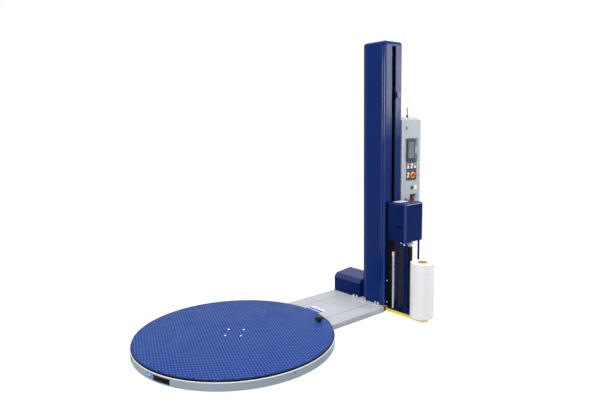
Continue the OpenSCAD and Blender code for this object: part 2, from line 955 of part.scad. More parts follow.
// The drive cover's end view, with a bevelled front edge and a top that falls forward
module hood_profile(inset) {
    x0 = hood_x0 + inset;
    x1 = hood_x1 - inset;
    bevel_x = hood_x0 + hood_bevel;
    bevel_z = hood_top - hood_fall;
    slope = hood_fall / (hood_x1 - bevel_x);
    top_drop = inset * sqrt(1 + slope * slope);
    bevel_drop = inset * sqrt(2);
    corner_x = bevel_x + (bevel_drop - top_drop) / (1 - slope);
    polygon([
        [x0, base_h],
        [x0, bevel_z - hood_bevel + inset - bevel_drop],
        [corner_x, bevel_z - top_drop + slope * (corner_x - bevel_x)],
        [x1, hood_top - top_drop - slope * inset],
        [x1, base_h]
    ]);
}

module hood_shape(inset) {
    y0 = hood_y0 + inset;
    y1 = hood_y1 - inset;
    intersection() {
        translate([0, y1, 0]) rotate([90, 0, 0]) linear_extrude(y1 - y0) hood_profile(inset);
        linear_extrude_at(base_h, hood_h)
            rounded_rect(hood_x0 + inset, y0, hood_x1 - inset, y1, hood_r - inset);
    }
}

module drive_cover() {
    color(blue)
    difference() {
        hood_shape(0);
        translate([0, 0, -eps]) hood_shape(hood_t);
    }
}

// The mast in plan, with a larger radius on the front corner beside the slot
module mast_section(inset) {
    r = max(mast_r - inset, corner_min);
    r_front = max(front_r - inset, corner_min);
    x0 = mast_x0 + inset;
    y0 = mast_y0 + inset;
    difference() {
        rounded_rect(x0, y0, mast_x1 - inset, mast_y1 - inset, r);
        translate([x0 - eps, y0 - eps]) square(r_front + eps);
    }
    translate([x0 + r_front, y0 + r_front]) circle(r_front);
}

module mast_column() {
    color(blue)
    difference() {
        translate([0, 0, pad_top]) linear_extrude(column_top - pad_top)
            difference() {
                mast_section(0);
                mast_section(mast_wall);
            }
        block([slot_x - slot_w / 2, mast_y0 - eps, slot_z0],
              [slot_x + slot_w / 2, inner_y0 + eps, slot_z1]);
    }
}

module mast_front_panel() {
    color(blue)
    block([mast_x0 - panel_t, mast_y0 + panel_margin, pad_top],
          [mast_x0, mast_y1 - panel_margin, column_top]);
}

module cap_shape(inset) {
    steps = 4;
    $fn = hull_fn;
    hull()
        for (i = [0:steps]) {
            a = 90 * i / steps;
            draw_in = inset + (cap_r - 0.5) * (1 - cos(a));
            translate([0, 0, column_top])
                linear_extrude(cap_h - inset - cap_r * (1 - sin(a)))
                    mast_section(draw_in);
        }
}

module mast_cap() {
    color(blue)
    difference() {
        cap_shape(0);
        translate([0, 0, -eps]) cap_shape(mast_wall);
    }
}

module mast_guides() {
    color(steel) {
        for (x = [slot_x - rail_in - rail_w, slot_x + rail_in])
            block([x, inner_y0, rail_z0], [x + rail_w, inner_y0 + rail_d, rail_z1]);
        bar_y(slot_x, pulley_top_z, pulley_shaft_d, belt_y0 - shaft_over, inner_y1);
    }
}

module lift_belt() {
    low = [slot_x, -pulley_low];
    high = [slot_x, -pulley_top_z];
    color(black)
    translate([0, belt_y0, 0]) rotate([-90, 0, 0])
        linear_extrude(belt_w)
            difference() {
                belt_area(low, belt_in_r + belt_t, high, belt_in_r + belt_t);
                belt_area(low, belt_in_r, high, belt_in_r);
            }
}

module lift_pulley_top() {
    color(steel)
    difference() {
        bar_y(slot_x, pulley_top_z, pulley_d, belt_y0, belt_y1);
        bar_y(slot_x, pulley_top_z, pulley_shaft_d + 2 * run_clear, belt_y0 - eps, belt_y1 + eps);
    }
}

module lift_pulley_bottom() {
    color(steel) {
        bar_y(slot_x, pulley_low, pulley_d, belt_y0, belt_y1);
        bar_y(slot_x, pulley_low, pulley_shaft_d, belt_y1, lift_box_y0 + lift_box_l / 2 - shaft_short);
    }
}

module limit_switch() {
    x0 = slot_x + slot_w / 2 + switch_gap;
    color(black)
    block([x0, mast_y0 - switch_t, switch_z - switch_h / 2],
          [x0 + switch_w, mast_y0, switch_z + switch_h / 2]);
}

module cabinet_section(inset) {
    polygon([
        [cab_y0 + inset, cab_z + inset], [cab_y1 - inset, cab_z + inset],
        [cab_y1 - inset, cab_top - inset], [cab_y0 + cab_bevel, cab_top - inset],
        [cab_y0 + inset, cab_top - cab_bevel]
    ]);
}

module along_x(x0, x1) {
    translate([x0, 0, 0]) rotate([90, 0, 90]) linear_extrude(x1 - x0) children();
}

module hinge_leaf(y0, y1, z0) {
    block([cab_x1, y0, z0], [cab_x1 + leaf_t, y1, z0 + knuckle_h - gap]);
}

module cabinet_body() {
    mount_h = 100;
    color(grey) {
        difference() {
            along_x(cab_x0, cab_x1) cabinet_section(0);
            along_x(cab_x0 + cab_wall, cab_x1 - cab_wall) cabinet_section(cab_wall);
            block([cab_x0 + cab_wall, cab_y0 - eps, cab_z + cab_wall],
                  [cab_x1 - cab_wall, cab_y0 + cab_wall + eps, door_z1 - cab_wall]);
            post(gland_at, gland_bore + gland_passage, cab_z - eps, cab_z + cab_wall + eps);
        }
        block([cab_x0, cab_front, door_z0], [cab_x0 + strip_w, cab_y0 - gap, door_z1]);
        for (z = [cab_z + mount_h, cab_top - 2 * mount_h])
            block([mast_x1, cab_y0 + mount_h / 2, z], [cab_x0, cab_y1 - mount_h / 2, z + mount_h]);
        for (z = HINGE_Z) {
            post(hinge_at, knuckle_d, z - knuckle_h, z - gap);
            post(hinge_at, hinge_pin_d, z - knuckle_h, z + knuckle_h);
            difference() {
                hinge_leaf(cab_y0 + gap, cab_y0 + knuckle_h, z - knuckle_h);
                post(hinge_at, knuckle_d, z - 2 * knuckle_h, z + knuckle_h);
            }
        }
    }
}

module cabinet_electrics() {
    plate_sheet = 3;
    plate_side = 12;
    plate_rise = 40;
    plate_drop = 60;
    plate_y = cab_y1 - cab_wall - plate_sheet;
    plate_z = cab_z + plate_rise;
    // Each unit's offset across and up the plate, its width, its height and its depth
    units = [[26, 60, 90, 200, 70], [132, 60, 90, 160, 70], [26, 330, 130, 130, 60], [174, 330, 70, 130, 60],
             [26, 540, 220, 60, 45], [26, 640, 110, 90, 55]];
    color(steel)
    block([cab_x0 + plate_side, plate_y, plate_z],
          [cab_x1 - plate_side, cab_y1 - cab_wall, cab_top - plate_drop]);
    color(black)
    for (u = units)
        block([cab_x0 + u[0], plate_y - u[4], plate_z + u[1]],
              [cab_x0 + u[0] + u[2], plate_y, plate_z + u[1] + u[3]]);
}

module cabinet_fittings() {
    whip_d = 8;
    base_d = 20;
    base_rise = 22;
    whip_rise = 95;
    base_top = cab_top + base_rise;
    whip_top = cab_top + whip_rise;
    color(black) {
        post(antenna_at, base_d, cab_top, base_top);
        post(antenna_at, whip_d, base_top, whip_top);
        difference() {
            translate([gland_at[0], gland_at[1], cab_z - gland_l])
                cylinder(d = gland_d, h = gland_l, $fn = 6);
            post(gland_at, gland_bore, cab_z - gland_l - eps, cab_z + eps);
        }
    }
}

module table_plate() {
    color(table_blue)
    difference() {
        post([0, 0], table_d, plate_z0, table_h, $fn = large_fn);
        at_hub_screws() post([0, 0], hub_screw_d + 2 * screw_clear, plate_z0 - eps, table_h + eps);
        at_knob() post([0, 0], knob_stud_d + 2 * run_clear, plate_z0 - eps, table_h + eps);
    }
}

module table_hub() {
    color(steel)
    difference() {
        pipe([0, 0], hub_d, pivot_d + 2 * run_clear, hub_z0, plate_z0);
        at_hub_screws() post([0, 0], hub_screw_d + 2 * screw_clear, hub_z0 - eps, plate_z0 + eps);
    }
}

module table_sprocket() {
    bore_step = 12;
    bore_r = pivot_d / 2 + bore_step;
    color(steel)
    translate([0, 0, chain_z - sprocket_t / 2])
        linear_extrude(sprocket_t)
            difference() {
                sprocket_outline(table_teeth);
                circle(bore_r);
            }
}

module hub_screws() {
    color(steel)
    at_hub_screws() {
        post([0, 0], hub_screw_d, hub_z0, table_h + eps);
        post([0, 0], screw_head_d, table_h, table_h + screw_head_h);
    }
}

module lock_knob() {
    lobe_drop = 4;
    lobe_d = 0.36 * knob_d;
    lobe_r = (knob_d - lobe_d) / 2;
    core_d1 = 0.74 * knob_d;
    base_d = 0.5 * knob_d;
    base_h1 = 0.45 * knob_h;
    z0 = table_h + gap;
    color(black)
    at_knob() {
        post([0, 0], knob_stud_d, z0 - knob_stud_l, z0 + eps);
        post([0, 0], base_d, z0, table_h + base_h1 + eps);
        linear_extrude_at(table_h + base_h1, knob_h - base_h1 - lobe_drop) {
            circle(d = core_d1);
            for (i = [0:knob_lobes - 1])
                rotate((i + 0.5) * 360 / knob_lobes) translate([lobe_r, 0]) circle(d = lobe_d);
        }
        post([0, 0], base_d + lobe_drop, table_h + base_h1, table_h + knob_h);
    }
}

module drive_sprocket() {
    color(steel)
    translate([drive_x, drive_y, 0]) {
        translate([0, 0, chain_z - sprocket_t / 2])
            linear_extrude(sprocket_t) sprocket_outline(drive_teeth);
        post([0, 0], drive_shaft_d, chain_z, base_h + shaft_entry - shaft_short);
    }
}

module trolley() {
    half = rail_in - gap;
    y0 = inner_y0 + shoe_clear;
    belt_x = slot_x + belt_in_r;
    strip_x0 = head_x0 - strip_front;
    color(black) {
        block([slot_x - half, y0, trolley_z], [slot_x + half, trolley_y1, trolley_z + trolley_h]);
        block([slot_x - neck_w / 2, back_y1, trolley_z + neck_inset],
              [slot_x + neck_w / 2, y0 + eps, trolley_z + trolley_h - neck_inset]);
        for (x = [belt_x - gap - jaw_t, belt_x + belt_t + gap])
            block([x, trolley_y1 - eps, clamp_z], [x + jaw_t, belt_y1, clamp_z + clamp_h]);
        block([strip_x0, back_y1, strip_z],
              [slot_x - neck_w / 2 - strip_back, mast_y0 - strip_clear, head_top - back_drop]);
    }
}

module carriage_frame() {
    color(blue) {
        block([head_x0, back_y0, floor_top], [floor_x1, back_y1, head_top - back_drop]);
        translate([front_post_at[0] - front_post / 2, front_post_at[1] - front_post / 2, floor_top])
            cube([front_post, front_post, film_space]);
        post(rear_post_at, rear_post_d, floor_top, head_z0);
    }
}

module head_shape(inset, z0, z1) {
    r = head_r - inset;
    steps = 4;
    $fn = hull_fn;
    hull()
        for (i = [0:steps]) {
            a = 90 * i / steps;
            draw_in = (r - 0.5) * (1 - cos(a));
            for (x = [head_x0 + head_r, head_x1 - head_r])
                post([x, head_y0 + head_r], 2 * (r - draw_in), z0, z1 - r * (1 - sin(a)));
            block([head_x0 + inset + draw_in, head_y1 - inset - 1, z0],
                  [head_x1 - inset - draw_in, head_y1 - inset, z1 - r * (1 - sin(a))]);
        }
}

module carriage_head() {
    color(blue) {
        difference() {
            head_shape(0, head_shell_z, head_top);
            translate([0, 0, -eps]) head_shape(head_wall, head_shell_z, head_top - head_wall + eps);
        }
        difference() {
            linear_extrude_at(head_z0, head_floor_t) {
                translate([head_x0, head_y0 + head_r]) square([head_l, head_w - head_r]);
                translate([head_x0 + head_r, head_y0]) square([head_l - 2 * head_r, head_r + eps]);
                for (x = [head_x0 + head_r, head_x1 - head_r])
                    translate([x, head_y0 + head_r]) circle(head_r);
            }
            for (at = [fast_at, slow_at])
                post(at, shaft_d + shaft_passage, head_z0 - eps, head_shell_z + eps);
        }
    }
}

module linear_extrude_at(z0, h) {
    translate([0, 0, z0]) linear_extrude(h) children();
}

module carriage_floor() {
    color(blue)
    difference() {
        linear_extrude_at(floor_z, floor_t) floor_outline(0);
        for (at = BUMPER_PINS)
            post(at, bumper_pin_d + 2 * run_clear, floor_z - eps, floor_top + eps);
    }
}

module stretch_gearmotor() {
    leg_t = 6;
    box_half = fast_leg_y + leg_t;
    leg_x1 = fast_at[0] + leg_clear;
    leg_x0 = fast_at[0] - fast_box_half;
    color(skirt_grey)
    difference() {
        union() {
            for (y = [fast_at[1] - box_half, fast_at[1] + fast_leg_y])
                block([leg_x0, y, head_shell_z], [leg_x1, y + leg_t, fast_box_z + eps]);
            block([leg_x0, fast_at[1] - box_half, fast_box_z],
                  [fast_at[0] + fast_box_half, fast_at[1] + box_half, fast_box_z + fast_box_h]);
            post(fast_at, fast_motor_d, fast_box_z + fast_box_h, head_top - head_wall - head_r);
        }
        post(fast_at, tail_d + 2 * run_clear, fast_box_z - eps, fast_box_z + fast_box_h / 2);
    }
}

module roller_bearings() {
    bore = shaft_d + 2 * run_clear;
    color(steel) {
        for (at = [fast_at, slow_at]) {
            pipe(at, bearing_d, bore, floor_top, floor_top + bearing_t);
            pipe(at, bearing_d, bore, head_z0 - bearing_t, head_z0);
        }
        post(idle_at, idle_shaft_d, floor_top, head_z0);
        post(idle_at, idle_collar_d, floor_top, idle_z0 - gap);
        post(reel_at, reel_pin_d, floor_top, floor_top + reel_pin_h);
    }
}

module bumper() {
    color(yellow) {
        linear_extrude_at(bumper_z0, tray_t) floor_outline(bumper_gap + bumper_t);
        difference() {
            linear_extrude_at(bumper_z0, bumper_h) floor_outline(bumper_gap + bumper_t);
            linear_extrude_at(bumper_z0 - eps, bumper_h + 2 * eps) floor_outline(bumper_gap);
        }
        for (at = BUMPER_PINS)
            post(at, bumper_pin_d, bumper_z0, bumper_pin_top);
    }
}

module idle_roller() {
    color(steel)
    pipe(idle_at, idle_d, idle_shaft_d + 2 * run_clear, idle_z0, idle_z0 + idle_l);
}

module roller_sleeve(at) {
    color(black)
    pipe(at, roller_d, shaft_d + hex_clear, roller_z0, roller_z0 + roller_l);
}

// A stretch roller's shaft with its gear on a hexagon above the head's bottom plate
module roller_shaft(at, teeth, tail) {
    hex_z1 = gear_z0 + gear_w;
    color(steel) {
        translate([at[0], at[1], 0]) rotate(gear_angle) {
            post([0, 0], shaft_d, floor_top + gap, gear_z0);
            translate([0, 0, gear_z0]) cylinder(d = hex_d, h = gear_w, $fn = 6);
            post([0, 0], tail_d, hex_z1, hex_z1 + tail);
            translate([0, 0, gear_z0 + gap])
                linear_extrude(gear_w - 2 * gap)
                    difference() {
                        gear_outline(teeth);
                        circle(d = hex_d + 2 * hex_clear, $fn = 6);
                    }
        }
    }
}

module stretch_roller_fast() {
    roller_sleeve(fast_at);
}

module stretch_shaft_fast() {
    roller_shaft(fast_at, fast_teeth, motor_lift + fast_box_h / 2 - shaft_short);
}

module stretch_roller_slow() {
    roller_sleeve(slow_at);
}

module stretch_shaft_slow() {
    roller_shaft(slow_at, slow_teeth, slow_tail);
}

module reel_spindle() {
    hub_top = reel_disc_z1 + reel_hub_h;
    color(black)
    difference() {
        union() {
            post(reel_at, reel_disc_d, reel_disc_z0, reel_disc_z1);
            post(reel_at, core_d - 2 * gap, reel_disc_z0, hub_top);
        }
        post(reel_at, reel_pin_d + 2 * run_clear, reel_disc_z0 - eps,
             floor_top + reel_pin_h + reel_pin_over);
    }
}

module film_core() {
    color("#b9946a")
    pipe(reel_at, core_out_d, core_d, reel_disc_z1, reel_disc_z1 + film_h + core_over);
}

module film_roll() {
    color(white)
    pipe(reel_at, film_d, core_out_d + film_clear, reel_disc_z1, reel_disc_z1 + film_h);
}

// Places holes through the door's front sheet for what passes through it
module door_holes() {
    for (x = [-button_pitch, 0, button_pitch])
        bar_y(panel_x + x, button_z, button_stem_d + 2 * screw_clear, cab_front - eps, cab_y0);
    bar_y(panel_x - button_pitch, yellow_z, button_stem_d + 2 * screw_clear, cab_front - eps, cab_y0);
    bar_y(estop_x, estop_z, estop_stem_d + 2 * screw_clear, cab_front - eps, cab_y0);
    for (z = LOCK_Z)
        bar_y(lock_x, z, lock_d + 2 * screw_clear, cab_front - eps, cab_y0);
}

module cabinet_door() {
    door_y1 = cab_front + door_d;
    color(grey) {
        difference() {
            block([door_x0, cab_front, door_z0], [door_x1, door_y1, door_z1]);
            block([door_x0 + cab_wall, cab_front + cab_wall, door_z0 + cab_wall],
                  [door_x1 - cab_wall, door_y1 + eps, door_z1 - cab_wall]);
            door_holes();
        }
        for (z = HINGE_Z) {
            pipe(hinge_at, knuckle_d, hinge_pin_d + 2 * run_clear, z, z + knuckle_h - gap);
            difference() {
                hinge_leaf(cab_front + leaf_margin, door_y1, z);
                post(hinge_at, knuckle_d, z - eps, z + knuckle_h);
            }
        }
    }
}

module control_panel() {
    half_w = hmi_w / 2;
    half_k = keypad_w / 2;
    half_s = screen_w / 2;
    mid_z = (hmi_z0 + hmi_z1) / 2;
    color(black)
    difference() {
        union() {
            block([hmi_x - half_w, cab_front - hmi_d, hmi_z0], [hmi_x + half_w, cab_front, hmi_z1]);
            block([panel_x - half_k, keypad_y0, keypad_z1 - keypad_h],
                  [panel_x + half_k, cab_front, hmi_z0]);
        }
        block([screen_x - half_s - gap, cab_front - hmi_d - eps, mid_z - screen_h / 2 - gap],
              [screen_x + half_s + gap, screen_y1, mid_z + screen_h / 2 + gap]);
        door_holes_front();
    }
}

// The same holes, carried forward through the button plate
module door_holes_front() {
    translate([0, -2 * keypad_t, 0]) door_holes();
}

module hmi_screen() {
    mid_z = (hmi_z0 + hmi_z1) / 2;
    color("#7f949e")
    block([screen_x - screen_w / 2, screen_y1 - screen_t, mid_z - screen_h / 2],
          [screen_x + screen_w / 2, screen_y1, mid_z + screen_h / 2]);
}

module ring_y(x, z, d, bore, y0, y1) {
    difference() {
        bar_y(x, z, d, y0, y1);
        bar_y(x, z, bore, y0 - eps, y1 + eps);
    }
}

module panel_fittings() {
    bezel_bore = button_d + 2 * gap;
    half = switch_plate / 2;
    color(black) {
        for (x = [-button_pitch, 0, button_pitch])
            ring_y(panel_x + x, button_z, bezel_d, bezel_bore, keypad_y0 - bezel_t, keypad_y0);
        ring_y(panel_x - button_pitch, yellow_z, bezel_d, bezel_bore, keypad_y0 - bezel_t, keypad_y0);
        for (z = LOCK_Z)
            ring_y(lock_x, z, lock_ring_d, lock_d + 2 * run_clear, cab_front - lock_ring_t, cab_front);
        block([panel_x + port_shift - port_w / 2, cab_front - plate_proud, port_z - port_h / 2],
              [panel_x + port_shift + port_w / 2, cab_front, port_z + port_h / 2]);
        block([switch_x - half, cab_front - plate_proud, main_switch_z - half],
              [switch_x + half, cab_front, main_switch_z + half]);
    }
}

module estop_collar() {
    color(yellow)
    ring_y(estop_x, estop_z, collar_d, estop_stem_d + 2 * run_clear, keypad_y0 - collar_t, keypad_y0);
}

// A push button whose cap slides in its bezel
module push_button(x, z) {
    cap_y0 = keypad_y0 - bezel_t - button_out;
    cap_y1 = keypad_y0 - button_travel - gap;
    bar_y(x, z, button_d, cap_y0, cap_y1);
    bar_y(x, z, button_stem_d, cap_y1 - eps, stem_end - button_travel);
}

module button_red() {
    color(red) push_button(panel_x - button_pitch, button_z);
}

module button_white() {
    color(white) push_button(panel_x, button_z);
}

module button_dark() {
    color("#22264d") push_button(panel_x + button_pitch, button_z);
}

module button_yellow() {
    color(yellow) push_button(panel_x - button_pitch, yellow_z);
}

module estop_button() {
    head_y1 = keypad_y0 - collar_t - estop_neck;
    color(red) {
        bar_y(estop_x, estop_z, estop_stem_d, head_y1 - eps, stem_end - estop_travel);
        bar_y(estop_x, estop_z, estop_d, head_y1 - estop_head_h, head_y1);
    }
}

module switch_handle() {
    base_y0 = cab_front - plate_proud - gap;
    color(red) {
        bar_y(switch_x, main_switch_z, handle_base_d, base_y0 - handle_base_h, base_y0);
        block([switch_x - handle_l / 2, base_y0 - handle_h, main_switch_z - handle_w / 2],
              [switch_x + handle_l / 2, base_y0 - handle_base_h + eps, main_switch_z + handle_w / 2]);
    }
}

// A quarter-turn lock with its cam behind the door's front sheet
module door_lock(z) {
    cam_y0 = cab_front + cab_wall + cam_gap;
    color(steel) {
        bar_y(lock_x, z, lock_d, cab_front - lock_ring_t - lock_proud, cam_y0 + cam_t);
        block([lock_x - cam_l, cam_y0, z - cam_w / 2], [lock_x, cam_y0 + cam_t, z + cam_w / 2]);
    }
}

module door_lock_upper() {
    door_lock(LOCK_Z[0]);
}

module door_lock_lower() {
    door_lock(LOCK_Z[1]);
}

base_pan();
skirt_ring();
fork_tubes();
base_channels();
base_cover();
mast_pedestal();
mast_bolts();
table_supports();
drive_chain();
gearmotors();
drive_cover();
mast_column();
mast_front_panel();
mast_cap();
mast_guides();
lift_belt();
limit_switch();
cabinet_body();
cabinet_electrics();
cabinet_fittings();
table_plate();
table_hub();
table_sprocket();
hub_screws();
lock_knob();
support_wheel(1);  // support_wheel_1
support_wheel(2);  // support_wheel_2
support_wheel(3);  // support_wheel_3
support_wheel(4);  // support_wheel_4
drive_sprocket();
trolley();
carriage_frame();
carriage_head();
carriage_floor();
stretch_gearmotor();
roller_bearings();
lift_pulley_top();
lift_pulley_bottom();
bumper();
idle_roller();
stretch_roller_fast();
stretch_shaft_fast();
stretch_roller_slow();
stretch_shaft_slow();
reel_spindle();
film_core();
film_roll();
cabinet_door();
control_panel();
hmi_screen();
panel_fittings();
estop_collar();
button_red();
button_white();
button_dark();
button_yellow();
estop_button();
switch_handle();
door_lock_upper();
door_lock_lower();
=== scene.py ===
import json
import math
import bpy
from mathutils import Matrix, Vector

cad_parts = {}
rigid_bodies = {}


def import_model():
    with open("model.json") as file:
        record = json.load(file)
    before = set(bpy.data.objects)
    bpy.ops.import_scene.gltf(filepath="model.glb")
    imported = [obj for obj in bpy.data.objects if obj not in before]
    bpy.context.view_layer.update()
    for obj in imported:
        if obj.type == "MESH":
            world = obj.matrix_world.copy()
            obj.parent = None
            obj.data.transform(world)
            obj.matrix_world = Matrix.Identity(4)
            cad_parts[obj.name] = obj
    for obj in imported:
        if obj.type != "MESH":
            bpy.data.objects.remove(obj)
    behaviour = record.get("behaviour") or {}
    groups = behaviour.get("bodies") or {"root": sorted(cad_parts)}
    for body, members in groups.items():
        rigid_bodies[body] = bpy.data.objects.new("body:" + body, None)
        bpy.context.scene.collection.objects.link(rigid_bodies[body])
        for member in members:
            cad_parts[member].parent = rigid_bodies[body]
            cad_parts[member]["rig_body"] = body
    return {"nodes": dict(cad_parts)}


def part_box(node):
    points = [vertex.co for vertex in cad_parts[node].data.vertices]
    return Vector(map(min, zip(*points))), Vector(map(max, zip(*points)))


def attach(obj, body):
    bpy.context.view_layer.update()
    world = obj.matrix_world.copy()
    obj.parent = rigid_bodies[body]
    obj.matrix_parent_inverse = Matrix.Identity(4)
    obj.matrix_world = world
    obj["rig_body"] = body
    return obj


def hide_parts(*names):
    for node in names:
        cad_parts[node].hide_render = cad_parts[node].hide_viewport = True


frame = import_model()
for start_object in ("Cube", "Light", "Camera"):
    if start_object in bpy.data.objects:
        bpy.data.objects.remove(bpy.data.objects[start_object])
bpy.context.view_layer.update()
scene = bpy.context.scene
scene.view_settings.view_transform = "Standard"

# The camera stands in front of the deck's near left side at eye level.
# It looks slightly down, with a normal lens and a small tilt.
eye = Vector((-2.25192, -3.58198, 1.78233))
yaw, pitch, roll = math.radians(50.2327), math.radians(8.1058), math.radians(-0.9192)
sight = Vector((math.cos(pitch) * math.cos(yaw), math.cos(pitch) * math.sin(yaw), -math.sin(pitch)))
level = Vector((math.sin(yaw), -math.cos(yaw), 0.0))
upright = level.cross(sight)
across = math.cos(roll) * level + math.sin(roll) * upright
above = math.cos(roll) * upright - math.sin(roll) * level
bpy.ops.object.camera_add(location=eye)
camera = bpy.context.object
camera.name = "studio_camera"
camera.matrix_world = Matrix.Translation(eye) @ Matrix((across, above, -sight)).transposed().to_4x4()
camera.data.sensor_width = 36.0
camera.data.lens = 31.7236
camera.data.clip_end = 200.0
scene.camera = camera


# The studio is a white room to the camera and in reflections. The light that falls on
# the machine comes from a softer sky, brightest overhead.
def remap(tree, value, low, high, to_low, to_high):
    node = tree.nodes.new("ShaderNodeMapRange")
    limits = {"From Min": low, "From Max": high, "To Min": to_low, "To Max": to_high}
    for label, number in limits.items():
        node.inputs[label].default_value = number
    tree.links.new(value, node.inputs["Value"])
    return node.outputs["Result"]


def worked_out(tree, operation, first, second):
    node = tree.nodes.new("ShaderNodeMath")
    node.operation = operation
    for index, value in enumerate((first, second)):
        if isinstance(value, (int, float)):
            node.inputs[index].default_value = value
        else:
            tree.links.new(value, node.inputs[index])
    return node.outputs[0]


def parts_of(tree, vector):
    node = tree.nodes.new("ShaderNodeSeparateXYZ")
    tree.links.new(vector, node.inputs[0])
    return node.outputs


def shown_by_ray(tree, unseen, seen, end):
    ray = tree.nodes.new("ShaderNodeLightPath").outputs
    direct = worked_out(tree, "MAXIMUM", ray["Is Camera Ray"], ray["Is Transmission Ray"])
    choose = tree.nodes.new("ShaderNodeMixShader")
    tree.links.new(worked_out(tree, "MAXIMUM", direct, ray["Is Glossy Ray"]), choose.inputs["Fac"])
    tree.links.new(unseen.outputs[0], choose.inputs[1])
    tree.links.new(seen.outputs[0], choose.inputs[2])
    tree.links.new(choose.outputs[0], tree.nodes.new(end).inputs["Surface"])


sky = bpy.data.worlds.new("studio_sky")
scene.world = sky
sky.use_nodes = True
room = sky.node_tree
room.nodes.clear()
sky_height = parts_of(room, room.nodes.new("ShaderNodeTexCoord").outputs["Generated"])["Z"]
fill = room.nodes.new("ShaderNodeBackground")
fill.inputs["Color"].default_value = (0.97, 0.98, 1.0, 1.0)
room.links.new(remap(room, sky_height, -0.05, 0.75, 0.3, 0.75), fill.inputs["Strength"])
white = room.nodes.new("ShaderNodeBackground")
white.inputs["Strength"].default_value = 1.0
white.inputs["Color"].default_value = (1.0, 1.0, 1.0, 1.0)
shown_by_ray(room, fill, white, "ShaderNodeOutputWorld")


# Three large soft boxes: one behind the camera, one overhead, and one to the right,
# whose light shows in the slotted side of the mast.
def soft_box(name, at, towards, width, height, watts):
    bpy.ops.object.light_add(type="AREA", location=at)
    lamp = bpy.context.object
    lamp.name = name
    lamp.rotation_mode = "QUATERNION"
    lamp.rotation_quaternion = (Vector(towards) - Vector(at)).to_track_quat("-Z", "Y")
    lamp.data.shape = "RECTANGLE"
    lamp.data.size = width
    lamp.data.size_y = height
    lamp.data.energy = watts


soft_box("front_box", (-5.8, -4.0, 2.4), (0.8, -0.2, 1.0), width=2.4, height=1.8, watts=260.0)
soft_box("top_box", (0.8, -0.6, 5.4), (0.8, 0.0, 0.0), width=4.0, height=3.0, watts=180.0)
soft_box("right_box", (5.2, -3.4, 2.85), (1.6, -0.3, 2.0), width=1.6, height=2.0, watts=130.0)

# The floor is a plain pale sheet that runs out of sight.
# The camera sees it almost white, with the machine's soft shadow left on it.
bpy.ops.mesh.primitive_plane_add(size=60.0)
floor = bpy.context.object
floor.name = "studio_floor"
pale = bpy.data.materials.new("pale_floor")
pale.use_nodes = True
sheet = pale.node_tree
sheet.nodes.clear()
matt = sheet.nodes.new("ShaderNodeBsdfDiffuse")
matt.inputs["Color"].default_value = (0.3, 0.3, 0.3, 1.0)
thin = sheet.nodes.new("ShaderNodeBsdfDiffuse")
thin.inputs["Color"].default_value = (0.24, 0.24, 0.24, 1.0)
lit = sheet.nodes.new("ShaderNodeEmission")
lit.inputs["Strength"].default_value = 0.86
both = sheet.nodes.new("ShaderNodeAddShader")
sheet.links.new(thin.outputs[0], both.inputs[0])
sheet.links.new(lit.outputs[0], both.inputs[1])
shown_by_ray(sheet, matt, both, "ShaderNodeOutputMaterial")
floor.data.materials.append(pale)
floor.location.z = -0.0005


# The ring skirt and floor pan are welded steel in a satin grey enamel. The skirt is
# rolled from strip with broken edges. The fork tubes are painted dark as painted shade inside the pockets.
def tint(red, green, blue):
    def straight(value):
        value = value / 255.0
        return value / 12.92 if value <= 0.04045 else ((value + 0.055) / 1.055) ** 2.4
    return (straight(red), straight(green), straight(blue), 1.0)


def effect_group(name, **inputs):
    tree = bpy.data.node_groups.new(name, "ShaderNodeTree")
    for label, kind in inputs.items():
        tree.interface.new_socket(label, in_out="INPUT", socket_type="NodeSocket" + kind)
    for label, kind in (("Color", "Color"), ("Roughness", "Float"), ("Height", "Float")):
        tree.interface.new_socket(label, in_out="OUTPUT", socket_type="NodeSocket" + kind)
    return tree, tree.nodes.new("NodeGroupInput"), tree.nodes.new("NodeGroupOutput")


def own_place(tree):
    return tree.nodes.new("ShaderNodeTexCoord").outputs["Object"]


def noise(tree, vector, scale, detail, rough=0.5):
    node = tree.nodes.new("ShaderNodeTexNoise")
    node.inputs["Scale"].default_value = scale
    node.inputs["Detail"].default_value = detail
    node.inputs["Roughness"].default_value = rough
    tree.links.new(vector, node.inputs["Vector"])
    return node.outputs["Fac"]


def blend_colour(tree, amount, first, second):
    node = tree.nodes.new("ShaderNodeMix")
    node.data_type = "RGBA"
    for index, value in ((0, amount), (6, first), (7, second)):
        if isinstance(value, (int, float, tuple)):
            node.inputs[index].default_value = value
        else:
            tree.links.new(value, node.inputs[index])
    return node.outputs[2]


enamel, entry, leave = effect_group(
    "enamel_skin", Paint="Color", Scuff="Color", Wear="Float", Dust="Float", Gloss="Float")
place = own_place(enamel)
uneven = remap(enamel, noise(enamel, place, 2.2, 3.0), 0.35, 0.7, 0.0, 0.16)
shaded = blend_colour(enamel, uneven, entry.outputs["Paint"], entry.outputs["Scuff"])
streak = enamel.nodes.new("ShaderNodeMapping")
streak.inputs["Scale"].default_value = (60.0, 14.0, 34.0)
streak.inputs["Rotation"].default_value = (0.4, 0.2, 0.5)
enamel.links.new(place, streak.inputs["Vector"])
rub = remap(enamel, noise(enamel, streak.outputs["Vector"], 1.0, 6.0, 0.65), 0.62, 0.78, 0.0, 1.0)
rubbed = worked_out(enamel, "MULTIPLY", rub, entry.outputs["Wear"])
scuffed = blend_colour(enamel, rubbed, shaded, entry.outputs["Scuff"])
near_floor = remap(enamel, parts_of(enamel, place)["Z"], 0.0, 0.22, 1.0, 0.0)
drift = remap(enamel, noise(enamel, place, 9.0, 5.0), 0.4, 0.75, 0.0, 0.5)
settled = worked_out(enamel, "MULTIPLY", near_floor, drift)
dusted = worked_out(enamel, "MULTIPLY", settled, entry.outputs["Dust"])
dust_grey = (0.36, 0.35, 0.33, 1.0)
enamel.links.new(blend_colour(enamel, dusted, scuffed, dust_grey), leave.inputs["Color"])
